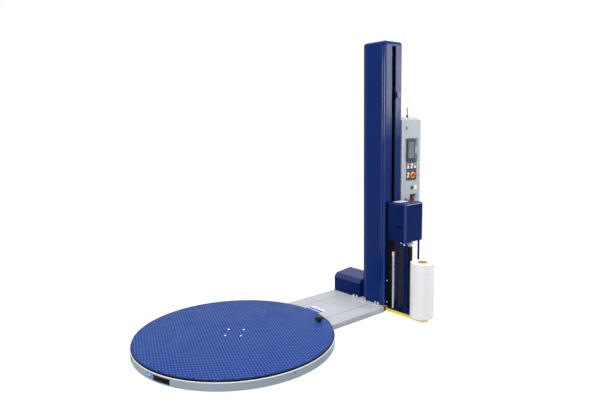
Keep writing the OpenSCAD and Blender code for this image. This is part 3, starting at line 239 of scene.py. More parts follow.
patchy = remap(enamel, noise(enamel, place, 6.0, 4.0), 0.3, 0.7, -0.05, 0.07)
dulled = worked_out(enamel, "ADD", entry.outputs["Gloss"], patchy)
duller = worked_out(enamel, "ADD", dulled, worked_out(enamel, "MULTIPLY", rubbed, 0.2))
enamel.links.new(duller, leave.inputs["Roughness"])
enamel.links.new(noise(enamel, place, 420.0, 2.0), leave.inputs["Height"])


def bare_material(name):
    material = bpy.data.materials.new(name)
    material.use_nodes = True
    tree = material.node_tree
    return material, tree, tree.nodes["Principled BSDF"]


def bumped(tree, shader, height, strength, depth):
    bump = tree.nodes.new("ShaderNodeBump")
    bump.inputs["Strength"].default_value = strength
    bump.inputs["Distance"].default_value = depth
    tree.links.new(height, bump.inputs["Height"])
    tree.links.new(bump.outputs["Normal"], shader.inputs["Normal"])


def skinned(name, group, strength, depth, **settings):
    material, tree, shader = bare_material(name)
    skin = tree.nodes.new("ShaderNodeGroup")
    skin.node_tree = group
    for label, value in settings.items():
        skin.inputs[label].default_value = value
    tree.links.new(skin.outputs["Color"], shader.inputs["Base Color"])
    tree.links.new(skin.outputs["Roughness"], shader.inputs["Roughness"])
    bumped(tree, shader, skin.outputs["Height"], strength, depth)
    return material, shader


def painted(name, paint, scuff, wear, dust, gloss, peel, specular):
    peel_depth = 0.0004
    material, shader = skinned(name, enamel, peel, peel_depth, Paint=paint, Scuff=scuff,
                               Wear=wear, Dust=dust, Gloss=gloss)
    shader.inputs["Specular IOR Level"].default_value = specular
    return material


def coat_node(material, *names):
    for node in names:
        for holder in frame["nodes"][node].material_slots:
            holder.material = material


def modified(kind, **settings):
    modifier = bpy.context.object.modifiers.new(kind.lower(), kind)
    for label, value in settings.items():
        setattr(modifier, label, value)
    bpy.ops.object.modifier_apply(modifier=modifier.name)


def true_flats(crease):
    bpy.ops.object.shade_smooth_by_angle(angle=math.radians(crease))
    modified("WEIGHTED_NORMAL", keep_sharp=True)


def lone(piece):
    bpy.ops.object.select_all(action="DESELECT")
    piece.select_set(True)
    bpy.context.view_layer.objects.active = piece


def mode(name):
    bpy.ops.object.mode_set(mode=name)


def select(action):
    bpy.ops.mesh.select_all(action=action)


def edged_copy(node, name, material, edge, steps=2, crease=30.0):
    source = frame["nodes"][node]
    piece = bpy.data.objects.new(name, source.data.copy())
    scene.collection.objects.link(piece)
    lone(piece)
    bpy.ops.mesh.customdata_custom_splitnormals_clear()
    mode("EDIT")
    select("SELECT")
    bpy.ops.mesh.remove_doubles(threshold=0.00001)
    bpy.ops.mesh.dissolve_limited(angle_limit=math.radians(0.4))
    mode("OBJECT")
    modified("BEVEL", width=edge, segments=steps, limit_method="ANGLE", angle_limit=math.radians(crease))
    true_flats(crease + 8.0)
    piece.data.materials.clear()
    piece.data.materials.append(material)
    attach(piece, source["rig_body"])
    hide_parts(node)
    return piece


skirt_grey = painted("skirt_grey_enamel", tint(141, 156, 168), tint(178, 187, 193),
                     wear=0.35, dust=0.5, gloss=0.42, peel=0.25, specular=0.3)
coat_node(skirt_grey, "base_pan")
# The fork tubes get a dark paint as painted shade for the shaded inside of the fork pockets.
fork_tube_painted_shade = painted("fork_tube_painted_shade", tint(36, 44, 45), tint(84, 92, 90),
                      wear=0.5, dust=0.5, gloss=0.6, peel=0.4, specular=0.1)
coat_node(fork_tube_painted_shade, "fork_tubes")
edged_copy("skirt_ring", "skirt_strip", skirt_grey, edge=0.0012)


# Button-head screws fix the skirt to the pan, three round the ring.
# They are zinc plated and darkened with age.
def apply_placing():
    bpy.ops.object.transform_apply(location=True, rotation=True, scale=True)


def turned(name, profile, sides, tube=False):
    radius, level_now = profile[0]
    bpy.ops.mesh.primitive_circle_add(vertices=sides, radius=radius, location=(0.0, 0.0, level_now),
                                      fill_type="NOTHING" if tube else "NGON")
    piece = bpy.context.object
    piece.name = name
    apply_placing()
    mode("EDIT")
    bpy.ops.mesh.select_mode(type="EDGE")
    select("SELECT")
    for next_radius, next_level in profile[1:]:
        bpy.ops.mesh.extrude_edges_move(TRANSFORM_OT_translate={"value": (0.0, 0.0, next_level - level_now)})
        grow = next_radius / radius
        bpy.ops.transform.resize(value=(grow, grow, 1.0), center_override=(0.0, 0.0, 0.0))
        radius, level_now = next_radius, next_level
    if tube:
        select("DESELECT")
        bpy.ops.mesh.select_non_manifold()
        bpy.ops.mesh.bridge_edge_loops()
    else:
        bpy.ops.mesh.edge_face_add()
    bpy.ops.mesh.select_mode(type="VERT")
    select("SELECT")
    bpy.ops.mesh.normals_make_consistent(inside=False)
    mode("OBJECT")
    return piece


def stood(piece, at, axis=(0.0, 0.0, 1.0)):
    lone(piece)
    piece.rotation_mode = "QUATERNION"
    piece.rotation_quaternion = Vector(axis).to_track_quat("Z", "Y")
    piece.location = at
    apply_placing()
    return piece


def joined(name, pieces):
    bpy.ops.object.select_all(action="DESELECT")
    for piece in pieces:
        piece.select_set(True)
    bpy.context.view_layer.objects.active = pieces[0]
    if len(pieces) > 1:
        bpy.ops.object.join()
    pieces[0].name = name
    return pieces[0]


def middle_of(node):
    low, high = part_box(node)
    return (low + high) / 2


def radius_of(node):
    low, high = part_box(node)
    return (high.x - low.x) / 2


def fitted(piece, material, body, replaces=None, crease=35.0):
    lone(piece)
    true_flats(crease)
    piece.data.materials.clear()
    piece.data.materials.append(material)
    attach(piece, body)
    if replaces:
        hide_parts(replaces)
    return piece


def vectors_worked_out(tree, operation, first, second=None):
    node = tree.nodes.new("ShaderNodeVectorMath")
    node.operation = operation
    tree.links.new(first, node.inputs[0])
    if isinstance(second, tuple):
        node.inputs[1].default_value = second
    elif second:
        tree.links.new(second, node.inputs[1])
    return node.outputs


grain, entry, leave = effect_group(
    "metal_grain", Metal="Color", Stain="Color", Gloss="Float", Stretch="Vector")
place = own_place(grain)
drawn = vectors_worked_out(grain, "MULTIPLY", place, entry.outputs["Stretch"])["Vector"]
lines = noise(grain, drawn, 260.0, 3.0)
blotch = remap(grain, noise(grain, place, 22.0, 5.0, 0.6), 0.42, 0.75, 0.0, 0.55)
stained = blend_colour(grain, blotch, entry.outputs["Metal"], entry.outputs["Stain"])
grain.links.new(stained, leave.inputs["Color"])
dull = worked_out(grain, "ADD", entry.outputs["Gloss"], remap(grain, lines, 0.3, 0.7, -0.06, 0.1))
grain.links.new(worked_out(grain, "ADD", dull, worked_out(grain, "MULTIPLY", blotch, 0.2)),
                leave.inputs["Roughness"])
grain.links.new(lines, leave.inputs["Height"])


def metal(name, colour, stain, gloss, stretch=(1.0, 1.0, 1.0)):
    bite, depth = 0.15, 0.0002
    material, shader = skinned(name, grain, bite, depth, Metal=colour, Stain=stain,
                               Gloss=gloss, Stretch=stretch)
    shader.inputs["Metallic"].default_value = 1.0
    return material


dark_zinc = metal("dark_zinc_plate", tint(110, 112, 115), tint(70, 66, 60), gloss=0.45)
ring_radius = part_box("skirt_ring")[1].y
button_head = [(0.0065, -0.001), (0.0065, 0.0006), (0.005, 0.0019), (0.0026, 0.0023), (0.0022, 0.001)]
screw_level = Vector((0.0, 0.0, 0.042))
ring_screws = []
for bearing in (-92.0, 28.0, 148.0):
    away = Vector((math.cos(math.radians(bearing)), math.sin(math.radians(bearing)), 0.0))
    ring_screws.append(stood(turned("ring_screw", button_head, 24), away * ring_radius + screw_level, away))
fitted(joined("skirt_screws", ring_screws), dark_zinc, "base")

# A rolled bead stiffens the skirt's top edge, and its enamel is painted pale as a painted highlight along
# that edge.
# It stops where the base joins the ring.
bead = turned("skirt_bead", [
    (ring_radius - 0.0005, 0.0585), (ring_radius + 0.0022, 0.0598), (ring_radius + 0.003, 0.0628),
    (ring_radius + 0.0018, 0.0656), (ring_radius - 0.001, 0.0668), (ring_radius - 0.003, 0.066)],
    240, tube=True)
lone(bead)
mode("EDIT")
select("SELECT")
bead_end = (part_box("skirt_ring")[1].x, 0.0, 0.0)
bpy.ops.mesh.bisect(plane_co=bead_end, plane_no=(1.0, 0.0, 0.0), clear_outer=True, use_fill=True)
mode("OBJECT")
# The bead's pale paint is a painted highlight of the light on the skirt's top edge.
bead_painted_highlight = painted("bead_painted_highlight_enamel", tint(214, 220, 223), tint(232, 235, 236),
                    wear=0.3, dust=0.4, gloss=0.4, peel=0.2, specular=0.3)
fitted(bead, bead_painted_highlight, "base")


# A small blank blue plate is stuck on the skirt beside the fork pocket.
# It is printed film with a white spot in the middle.
def printed(name, ground, ink, pattern, gloss=0.35):
    material, tree, shader = bare_material(name)
    where = own_place(tree)
    worn = blend_colour(tree, remap(tree, noise(tree, where, 60.0, 4.0), 0.5, 0.8, 0.0, 0.3), ground, ink)
    tree.links.new(blend_colour(tree, pattern(tree, where), worn, ink), shader.inputs["Base Color"])
    tree.links.new(remap(tree, noise(tree, where, 90.0, 3.0), 0.3, 0.7, gloss - 0.06, gloss + 0.1),
                   shader.inputs["Roughness"])
    bumped(tree, shader, noise(tree, where, 500.0, 2.0), strength=0.1, depth=0.0002)
    shader.inputs["Specular IOR Level"].default_value = 0.15
    return material


def near_point(centre, reach):
    def pattern(tree, where):
        away = vectors_worked_out(tree, "DISTANCE", where, centre)["Value"]
        return remap(tree, away, reach, reach + 0.001, 1.0, 0.0)
    return pattern


plate_from, plate_to = math.radians(188.4), math.radians(192.3)
plate_low, plate_high, plate_proud = 0.016, 0.060, 0.0004
plate_mid = (plate_from + plate_to) / 2
plate_level = (plate_low + plate_high) / 2
bpy.ops.mesh.primitive_cylinder_add(
    vertices=360, radius=ring_radius + plate_proud, depth=plate_high - plate_low,
    end_fill_type="NOTHING", location=(0.0, 0.0, plate_level))
pocket_plate = bpy.context.object
apply_placing()
mode("EDIT")
for edge_angle, side in ((plate_from, 1.0), (plate_to, -1.0), (plate_mid, 0.0)):
    select("SELECT")
    if side:
        cut = Vector((-math.sin(edge_angle), math.cos(edge_angle), 0.0)) * side
    else:
        cut = Vector((math.cos(edge_angle), math.sin(edge_angle), 0.0))
    bpy.ops.mesh.bisect(plane_co=(0.0, 0.0, 0.0), plane_no=cut, clear_inner=True)
mode("OBJECT")
spot_at = (ring_radius * math.cos(plate_mid), ring_radius * math.sin(plate_mid), plate_level)
blue_print = printed("blue_print", tint(6, 124, 212), tint(240, 244, 248), near_point(spot_at, reach=0.008))
pocket_plate.name = "pocket_plate"
fitted(pocket_plate, blue_print, "base")


# The deck is a steel plate in blue enamel that turns on the hub.
# Its cut rim is painted black as painted shade on the shaded rim and the gap beneath it.
def second_coat(piece, material, picked):
    lone(piece)
    bpy.ops.object.material_slot_add()
    piece.material_slots[1].material = material
    for face in piece.data.polygons:
        if picked(face):
            face.material_index = 1


deck_blue = painted("deck_blue_enamel", tint(2, 42, 114), tint(38, 68, 130),
                    wear=0.25, dust=0.0, gloss=0.38, peel=0.2, specular=0.1)
deck_plate = edged_copy("table_plate", "deck_plate", deck_blue, edge=0.0015)
# Black on the deck's rim faces is painted shade for the shaded edge and gap under it.
rim_painted_shade = painted("rim_painted_shade_enamel", tint(8, 9, 14), tint(30, 32, 38),
                    wear=0.2, dust=0.1, gloss=0.5, peel=0.3, specular=0.1)
second_coat(deck_plate, rim_painted_shade, lambda face: abs(face.normal.z) < 0.8 and face.center.xy.length > 0.8)

# Pressed studs keep the pallet from sliding. They stand in slanting rows on the deck,
# and none is pressed under the screws or the lock knob.
deck_top, deck_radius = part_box("table_plate")[1].z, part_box("table_plate")[1].x
row_step = Vector((0.0281, 0.00946, 0.0))
line_step = Vector((0.01078, 0.0275, 0.0))
stud_foot, stud_shoulder, stud_crown, stud_height = 0.0072, 0.0052, 0.0026, 0.0017
rim_margin, knob_margin, screw_margin = 0.014, 0.032, 0.02
knob_at = middle_of("lock_knob")
knob_at.z = 0.0
screw_circle = 0.092
screws_at = [Vector((x, y, 0.0)) * screw_circle for x, y in ((1, 0), (-1, 0), (0, 1), (0, -1))]
bpy.ops.mesh.primitive_circle_add(
    vertices=8, radius=stud_foot, fill_type="NOTHING", location=(0.0, 0.0, deck_top))
studs = bpy.context.object
studs.name = "deck_studs"
apply_placing()
mode("EDIT")
select("SELECT")
for next_radius, last_radius, rise in ((stud_shoulder, stud_foot, 0.7), (stud_crown, stud_shoulder, 0.3)):
    bpy.ops.mesh.extrude_edges_move(TRANSFORM_OT_translate={"value": (0.0, 0.0, stud_height * rise)})
    shrink = next_radius / last_radius
    bpy.ops.transform.resize(value=(shrink, shrink, 1.0), center_override=(0.0, 0.0, deck_top))
bpy.ops.mesh.fill()
select("SELECT")
bpy.ops.mesh.normals_make_consistent(inside=False)
mode("OBJECT")
field_width = 2.7 * deck_radius
reach = int(field_width / row_step.length)
for step in (row_step, line_step):
    modified("ARRAY", count=reach, use_relative_offset=False, use_constant_offset=True,
             constant_offset_displace=step)
mode("EDIT")
select("SELECT")
bpy.ops.transform.translate(value=-(row_step + line_step) * (reach - 1) / 2)
select("DESELECT")
mode("OBJECT")
per_stud = len(studs.data.vertices) // (reach * reach)
for first in range(0, len(studs.data.vertices), per_stud):
    group = studs.data.vertices[first:first + per_stud]
    middle = sum((v.co for v in group), Vector()) / per_stud
    middle.z = 0.0
    clear = middle.length < deck_radius - rim_margin and (middle - knob_at).length > knob_margin
    clear = clear and min((middle - at).length for at in screws_at) > screw_margin
    for vertex in group:
        vertex.select = not clear
mode("EDIT")
bpy.ops.mesh.delete(type="VERT")
mode("OBJECT")
bpy.ops.object.shade_smooth_by_angle(angle=math.radians(50.0))
# The studs are painted a lighter blue than the deck: a painted highlight on their domed sides, with scuffs of
# wear.
stud_painted_highlight = painted("stud_painted_highlight_enamel", tint(48, 96, 174), tint(106, 134, 186),
                    wear=0.5, dust=0.0, gloss=0.34, peel=0.2, specular=0.18)
studs.data.materials.append(stud_painted_highlight)
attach(studs, "turntable")

# Four dome-head screws hold the deck down on the hub.
# They are bright zinc with a hexagon socket in the crown.
zinc = metal("zinc_plate", tint(205, 208, 212), tint(150, 150, 148), gloss=0.32)
screw_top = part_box("hub_screws")[1].z
hub_screw_heads = []
dome_low = deck_top - 0.004
socket_low = screw_top - 0.0006
dome = [(0.0108, 0.0), (0.0108, 0.005), (0.0098, 0.0076), (0.0072, 0.0094), (0.0046, screw_top - dome_low)]
hexagon_socket = [(0.0034, 0.0), (0.0034, 0.0006), (0.003, 0.0008)]
for spot in screws_at:
    head = turned("hub_screw", dome, 32)
    hub_screw_heads.append(stood(head, spot + Vector((0.0, 0.0, dome_low))))
    socket = turned("hub_socket", hexagon_socket, 6)
    hub_screw_heads.append(stood(socket, spot + Vector((0.0, 0.0, socket_low))))
fitted(joined("hub_screw_heads", hub_screw_heads), zinc, "turntable", "hub_screws")

# The lobed lock knob is moulded in black nylon.
# It screws down through the deck, and stops it from turning when the machine is moved.
moulding, entry, leave = effect_group(
    "moulded_skin", Tone="Color", Bloom="Color", Gloss="Float", Grain="Float")
place = own_place(moulding)
cloud = remap(moulding, noise(moulding, place, 30.0, 5.0, 0.6), 0.45, 0.8, 0.0, 0.45)
clouded = blend_colour(moulding, cloud, entry.outputs["Tone"], entry.outputs["Bloom"])
moulding.links.new(clouded, leave.inputs["Color"])
touch = remap(moulding, noise(moulding, place, 55.0, 4.0), 0.35, 0.7, -0.06, 0.1)
moulding.links.new(worked_out(moulding, "ADD", entry.outputs["Gloss"], touch), leave.inputs["Roughness"])
fine = moulding.nodes.new("ShaderNodeTexNoise")
fine.inputs["Detail"].default_value = 2.0
moulding.links.new(place, fine.inputs["Vector"])
moulding.links.new(entry.outputs["Grain"], fine.inputs["Scale"])
moulding.links.new(fine.outputs["Fac"], leave.inputs["Height"])


def moulded(name, tone, bloom, gloss, bite=0.2, grain_scale=700.0, specular=0.5, coat=0.0):
    depth = 0.0003
    material, shader = skinned(name, moulding, bite, depth, Tone=tone, Bloom=bloom,
                               Gloss=gloss, Grain=grain_scale)
    shader.inputs["Specular IOR Level"].default_value = specular
    shader.inputs["Coat Weight"].default_value = coat
    return material


black_nylon_and_painted_shade = moulded("black_nylon_and_painted_shade", tint(20, 20, 21), tint(48, 46, 44), gloss=0.38, specular=0.3)
edged_copy("lock_knob", "knob_grip", black_nylon_and_painted_shade, edge=0.0016, steps=3)

# Two steel channels, a middle cover and the pedestal bridge the ring and the mast.
# They are light grey enamel on folded sheet, butted with narrow seams.
base_grey = painted("base_grey_enamel", tint(184, 187, 192), tint(204, 206, 209),
                    wear=0.3, dust=0.35, gloss=0.4, peel=0.25, specular=0.3)
for node in ("base_channels", "base_cover", "mast_pedestal"):
    edged_copy(node, node + "_sheet", base_grey, edge=0.0014)


# A blank striped plate lies on the middle cover near the ring, and a black block
# fills the open end of the right-hand channel as painted shade.
def slab(name, low_corner, high_corner, edge=0.0, steps=2):
    low_corner, high_corner = Vector(low_corner), Vector(high_corner)
    bpy.ops.mesh.primitive_cube_add(size=1.0, location=(low_corner + high_corner) / 2)
    piece = bpy.context.object
    piece.name = name
    piece.scale = high_corner - low_corner
    apply_placing()
    if edge:
        modified("BEVEL", width=edge, segments=steps)
    return piece


def blue_bands(tree, where):
    line_from, line_to, band_from, blur = 0.908, 0.919, 0.946, 0.001
    along = parts_of(tree, where)["X"]
    past_start = remap(tree, along, line_from, line_from + blur, 0.0, 1.0)
    before_end = remap(tree, along, line_to - blur, line_to, 1.0, 0.0)
    line = worked_out(tree, "MULTIPLY", past_start, before_end)
    return worked_out(tree, "ADD", line, remap(tree, along, band_from, band_from + blur, 0.0, 1.0))


cover_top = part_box("base_cover")[1].z
striped = printed("striped_print", tint(8, 62, 186), tint(240, 242, 246), blue_bands)
plate_low = (0.868, -0.055, cover_top - 0.0002)
plate_high = (0.974, 0.125, cover_top + 0.0005)
cover_plate = slab("cover_plate", plate_low, plate_high)
fitted(cover_plate, striped, "base")
# The black block in the channel's open end is painted shade for the dark inside of the channel.
shade_block_low = (1.449, -0.3605, 0.006)
shade_block_high = (1.472, -0.3415, cover_top - 0.001)
channel_end_painted_shade = slab("channel_plug", shade_block_low, shade_block_high, edge=0.003)
fitted(channel_end_painted_shade, black_nylon_and_painted_shade, "base")

# Grey sealant fills the two long seams of the cover.
# It is drawn in almost flush with the sheet.
seam_grey = moulded("seam_sealant", tint(132, 135, 140), tint(156, 158, 162), gloss=0.6)
cover_low, cover_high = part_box("base_cover")
seam_start, seam_half, seam_low, seam_high = 0.84, 0.003, cover_top - 0.001, cover_top + 0.0003
seams = [slab("seam", (seam_start, seam_y - seam_half, seam_low),
              (cover_high.x, seam_y + seam_half, seam_high)) for seam_y in (cover_low.y, cover_high.y)]
fitted(joined("base_seams", seams), seam_grey, "base")

# Studs with hexagon nuts and flat washers fix the mast's foot pad to the pedestal.
# They are bright zinc, and the nuts' corners are chamfered.
bolt_x, washer_radius = middle_of("mast_bolts").x, radius_of("mast_bolts")
bolt_places = (-0.289, -0.254, -0.118, -0.007, 0.036)
foot_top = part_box("mast_pedestal")[1].z
nut_rise, bolt_rise = 0.019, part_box("mast_bolts")[1].z - foot_top
washer_form = [(washer_radius - 0.0005, 0.0), (washer_radius, 0.0006), (washer_radius, 0.0025),
               (washer_radius - 0.0006, 0.003)]
nut_form = [(0.0132, 0.003), (0.0132, nut_rise - 0.0018), (0.0116, nut_rise - 0.0002), (0.0112, nut_rise)]
stud_form = [(0.0078, nut_rise - 0.001), (0.0078, bolt_rise - 0.0015), (0.0064, bolt_rise)]
bright_zinc = metal("bright_zinc", tint(222, 225, 228), tint(120, 120, 118), gloss=0.2)
bolt_pieces = []
for bolt_y in bolt_places:
    for name, form, sides in (("washer", washer_form, 40), ("hexagon", nut_form, 6), ("stud", stud_form, 32)):
        bolt_pieces.append(stood(turned(name, form, sides), (bolt_x, bolt_y, foot_top)))
fitted(joined("foot_bolts", bolt_pieces), bright_zinc, "base", "mast_bolts", crease=25.0)

# The drive cover is a folded and welded sheet hood in dark blue enamel.
# It drops over the table gearmotor. Its front top edge is bevelled, and its top faces are painted lighter as
# a painted highlight.
deep_blue = painted("deep_blue_enamel", tint(0, 25, 85), tint(6, 41, 103),
                    wear=0.12, dust=0.05, gloss=0.2, peel=0.08, specular=0.05)
# The lighter blue on the hood's top faces is a painted highlight of the light falling on the top.
hood_top_painted_highlight = painted("hood_top_painted_highlight_enamel", tint(38, 52, 102), tint(70, 82, 124),
                     wear=0.12, dust=0.05, gloss=0.2, peel=0.08, specular=0.1)
hood = edged_copy("drive_cover", "hood_sheet", deep_blue, edge=0.004, steps=3, crease=20.0)
second_coat(hood, hood_top_painted_highlight, lambda face: face.normal.z > 0.3)

# The mast is a rolled steel column with a slot down its side, a flat front panel
# and a rounded cap. All are dark blue enamel, glossier where the sheet turns a corner.
# The panel's long edges are folded back at a slant.
mast_blue = painted("mast_blue_enamel", tint(0, 34, 98), tint(8, 52, 118),
                    wear=0.12, dust=0.05, gloss=0.2, peel=0.08, specular=0.1)
edge_blue = painted("edge_blue_enamel", tint(0, 34, 98), tint(8, 52, 118),
                    wear=0.12, dust=0.05, gloss=0.14, peel=0.05, specular=0.4)
mast_shell = edged_copy("mast_column", "mast_shell", mast_blue, edge=0.0012)
second_coat(mast_shell, edge_blue, lambda face: face.normal.x < -0.3 and abs(face.normal.y) > 0.4)
edged_copy("mast_front_panel", "mast_face", mast_blue, edge=0.0008)
face_low, face_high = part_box("mast_front_panel")
fold_past, fold_slant, fold_proud = 0.003, 0.006, 0.002
folds = []
for fold_y, inward in ((face_low.y - fold_past, fold_slant), (face_high.y + fold_past, -fold_slant)):
    right_y, left_y = sorted((fold_y, fold_y + 2.0 * inward))
    fold = slab("panel_fold", (face_low.x - fold_proud, right_y, face_low.z),
                (face_high.x, left_y, face_high.z))
    lone(fold)
    mode("EDIT")
    select("DESELECT")
    mode("OBJECT")
    for corner in fold.data.vertices:
        corner.select = corner.co.x < face_low.x and abs(corner.co.y - fold_y) < 0.0001
    mode("EDIT")
    bpy.ops.transform.translate(value=(0.0, inward, 0.0))
    mode("OBJECT")
    folds.append(fold)
fitted(joined("panel_folds", folds), edge_blue, "base")
edged_copy("mast_cap", "mast_lid", mast_blue, edge=0.002, crease=40.0)

# The upper limit switch is a small black block with a pale steel clamp on one side.
# It sits beside the slot.
switch_low, switch_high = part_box("limit_switch")
switch_mid = middle_of("limit_switch").x
clamp_inset = 0.006
body_block = slab("switch_block", (switch_low.x - 0.006, switch_low.y, switch_low.z),
                  (switch_mid, switch_high.y, switch_high.z), edge=0.002)
fitted(body_block, black_nylon_and_painted_shade, "base", "limit_switch")
clamp_block = slab("switch_clamp", (switch_mid, switch_low.y + 0.004, switch_low.z + clamp_inset),
                   (switch_high.x, switch_high.y, switch_high.z - clamp_inset), edge=0.002)
clamp_steel = metal("clamp_steel", tint(104, 114, 112), tint(70, 76, 74), gloss=0.5)
fitted(clamp_block, clamp_steel, "base")

# Inside the mast are guide rails, a lift belt on two pulleys and a trolley, and under
# the deck a chain drive and wheels. Steel, rubber and cast housings show only in gaps.
drawn_steel = metal("drawn_steel", tint(165, 167, 170), tint(110, 106, 100),
                    gloss=0.34, stretch=(1.0, 1.0, 0.05))
coat_node(drawn_steel, "mast_guides", "lift_pulley_top", "lift_pulley_bottom", "table_supports")
turned_steel = metal("turned_steel", tint(172, 173, 175), tint(96, 88, 78),
                     gloss=0.3, stretch=(1.0, 1.0, 0.2))
coat_node(turned_steel, "table_hub", "table_sprocket", "drive_sprocket", "drive_chain", "stretch_shaft_fast",
          "stretch_shaft_slow")
rubber = moulded("black_rubber", tint(36, 35, 37), tint(66, 64, 62),
                 gloss=0.62, bite=0.3, grain_scale=500.0, specular=0.35)
coat_node(rubber, "lift_belt", "support_wheel_1", "support_wheel_2", "support_wheel_3", "support_wheel_4")
cast_grey = painted("cast_grey_enamel", tint(96, 102, 108), tint(140, 144, 148),
                    wear=0.4, dust=0.3, gloss=0.5, peel=0.8, specular=0.4)
coat_node(cast_grey, "gearmotors", "stretch_gearmotor")
black_enamel_and_painted_shade = painted("black_enamel_and_painted_shade", tint(5, 6, 9), tint(24, 24, 28),
                       wear=0.2, dust=0.1, gloss=0.5, peel=0.3, specular=0.05)
edged_copy("trolley", "trolley_plate", black_enamel_and_painted_shade, edge=0.001)

# The drive head is a sheet steel box on the carriage, in the hood's deep blue enamel.
# A grip slot is cut in its end, with a black tray behind it.
head_shell = edged_copy("carriage_head", "head_shell", deep_blue, edge=0.004, steps=3)
head_low, head_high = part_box("carriage_head")
slot_low_y, slot_low_z, slot_high_y, slot_high_z, tray_margin = -0.530, 0.819, -0.457, 0.841, 0.004
cutter = slab("grip_cutter", (head_low.x - 0.02, slot_low_y, slot_low_z),
              (head_low.x + 0.01, slot_high_y, slot_high_z))
lone(head_shell)
modified("BOOLEAN", operation="DIFFERENCE", object=cutter)
bpy.data.objects.remove(cutter)
second_coat(head_shell, edge_blue, lambda face: sum(abs(part) > 0.2 for part in face.normal) > 1)
tray = slab("grip_tray", (head_low.x + 0.003, slot_low_y - tray_margin, slot_low_z - tray_margin),
            (head_low.x + 0.016, slot_high_y + tray_margin, slot_high_z + tray_margin), edge=0.001)
fitted(tray, black_enamel_and_painted_shade, "carriage")


# A blank pale plate is stuck on top of the drive head, partly a label and partly a painted highlight of its
# bright top.
# It is printed film in two pale tones.
def stripes(axis, start, pitch):
    def pattern(tree, where):
        moved = worked_out(tree, "SUBTRACT", parts_of(tree, where)[axis], start)
        band = worked_out(tree, "FRACT", worked_out(tree, "DIVIDE", moved, pitch), 0.0)
        return remap(tree, band, 0.5, 0.52, 0.0, 1.0)
    return pattern


pale_bands = stripes("Y", start=-0.47, pitch=0.5)
pale_print_and_painted_highlight = printed("pale_print_and_painted_highlight", tint(206, 210, 214), tint(240, 241, 242), pale_bands, gloss=0.3)
# The pale plate on the head's top is partly a label and partly a painted highlight.
plate_low = (1.535, -0.468, head_high.z - 0.0005)
plate_high = (1.665, -0.385, head_high.z + 0.0008)
head_plate = slab("head_plate", plate_low, plate_high, edge=0.0003)
fitted(head_plate, pale_print_and_painted_highlight, "carriage")

# The carriage frame is welded from folded sheet and bar: a back wall, two posts
# and a floor with a rounded arm under the film roll. The front post has a folded lip.
edged_copy("carriage_frame", "carriage_weldment", deep_blue, edge=0.0012)
edged_copy("carriage_floor", "carriage_tray", deep_blue, edge=0.0015)
lip_low, lip_high = (1.5, -0.584, 0.046), (1.512, -0.566, 0.69)
post_lip = slab("post_lip", lip_low, lip_high, edge=0.001)
fitted(post_lip, deep_blue, "carriage")
coat_node(black_enamel_and_painted_shade, "roller_bearings")

# A black enamelled strip lines the back wall beside the mast as painted shade
# for the shaded slot side behind the rollers.
wall_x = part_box("carriage_frame")[0].x
shade_strip_low, shade_strip_high = (wall_x, -0.3672, 0.037), (wall_x + 0.062, -0.366, 0.694)
# The black strip on the back wall is painted shade for the shaded side of the slot.
wall_painted_shade = slab("wall_lining", shade_strip_low, shade_strip_high, edge=0.0003)
fitted(wall_painted_shade, black_enamel_and_painted_shade, "carriage")

# Two white plastic rivets sit on the trolley's black plate, and a white plug is pressed
# into the front post under the drive head.
white_nylon_and_painted_glint = moulded("white_nylon_and_painted_glint", tint(232, 231, 228), tint(205, 203, 198), gloss=0.42)
strip_x, strip_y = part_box("trolley")[0].x, -0.354
forward = (-1.0, 0.0, 0.0)
rivet_form = [(0.0056, -0.001), (0.0056, 0.0004), (0.0042, 0.0016), (0.002, 0.0021)]
small_whites = []
for rivet_z in (0.089, 0.299):
    small_whites.append(stood(turned("rivet", rivet_form, 24), (strip_x, strip_y, rivet_z), forward))
disc_at = (1.4985, -0.557, 0.679)
stop_disc = turned("stop_disc", [(0.009, -0.001), (0.009, 0.003), (0.0075, 0.0045), (0.003, 0.005)], 32)
small_whites.append(stood(stop_disc, disc_at, forward))
fitted(joined("white_fixings", small_whites), white_nylon_and_painted_glint, "carriage")

# The two stretch rollers are rubber-covered tubes geared to run at different speeds.
# The front one narrows to a cone at the top, and the rear one has a white flange.
roller_rubber = moulded("roller_rubber", tint(30, 28, 29), tint(58, 55, 56),
                        gloss=0.5, bite=0.25, grain_scale=380.0, specular=0.15)
for speed in ("fast", "slow"):
    edged_copy("stretch_roller_" + speed, speed + "_cover", roller_rubber,
               edge=0.003, steps=3)
fast_axis, fast_top = middle_of("stretch_roller_fast"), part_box("stretch_roller_fast")[1].z
slow_axis, slow_top = middle_of("stretch_roller_slow"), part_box("stretch_roller_slow")[1].z
cone = turned("fast_cone", [(0.0255, 0.0), (0.0245, 0.003), (0.014, 0.032), (0.0125, 0.036)], 48)
stood(cone, (fast_axis.x, fast_axis.y, fast_top))
fitted(cone, roller_rubber, "fast_roller")
flange = turned("slow_flange", [(0.021, 0.0), (0.021, 0.016), (0.033, 0.02), (0.033, 0.032), (0.03, 0.035),
                                (0.014, 0.037)], 48)
stood(flange, (slow_axis.x, slow_axis.y, slow_top))
fitted(flange, white_nylon_and_painted_glint, "slow_roller")

# The idle roller is a bright drawn tube that guides the film.
# A pale red sleeve closes its top end, and its pink is a painted reflection.
bright_tube = metal("bright_tube", tint(188, 194, 198), tint(150, 154, 158),
                    gloss=0.24, stretch=(1.0, 1.0, 0.04))
edged_copy("idle_roller", "idle_tube", bright_tube, edge=0.0015)
idle_axis, idle_radius = middle_of("idle_roller"), radius_of("idle_roller")
idle_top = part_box("idle_roller")[1].z
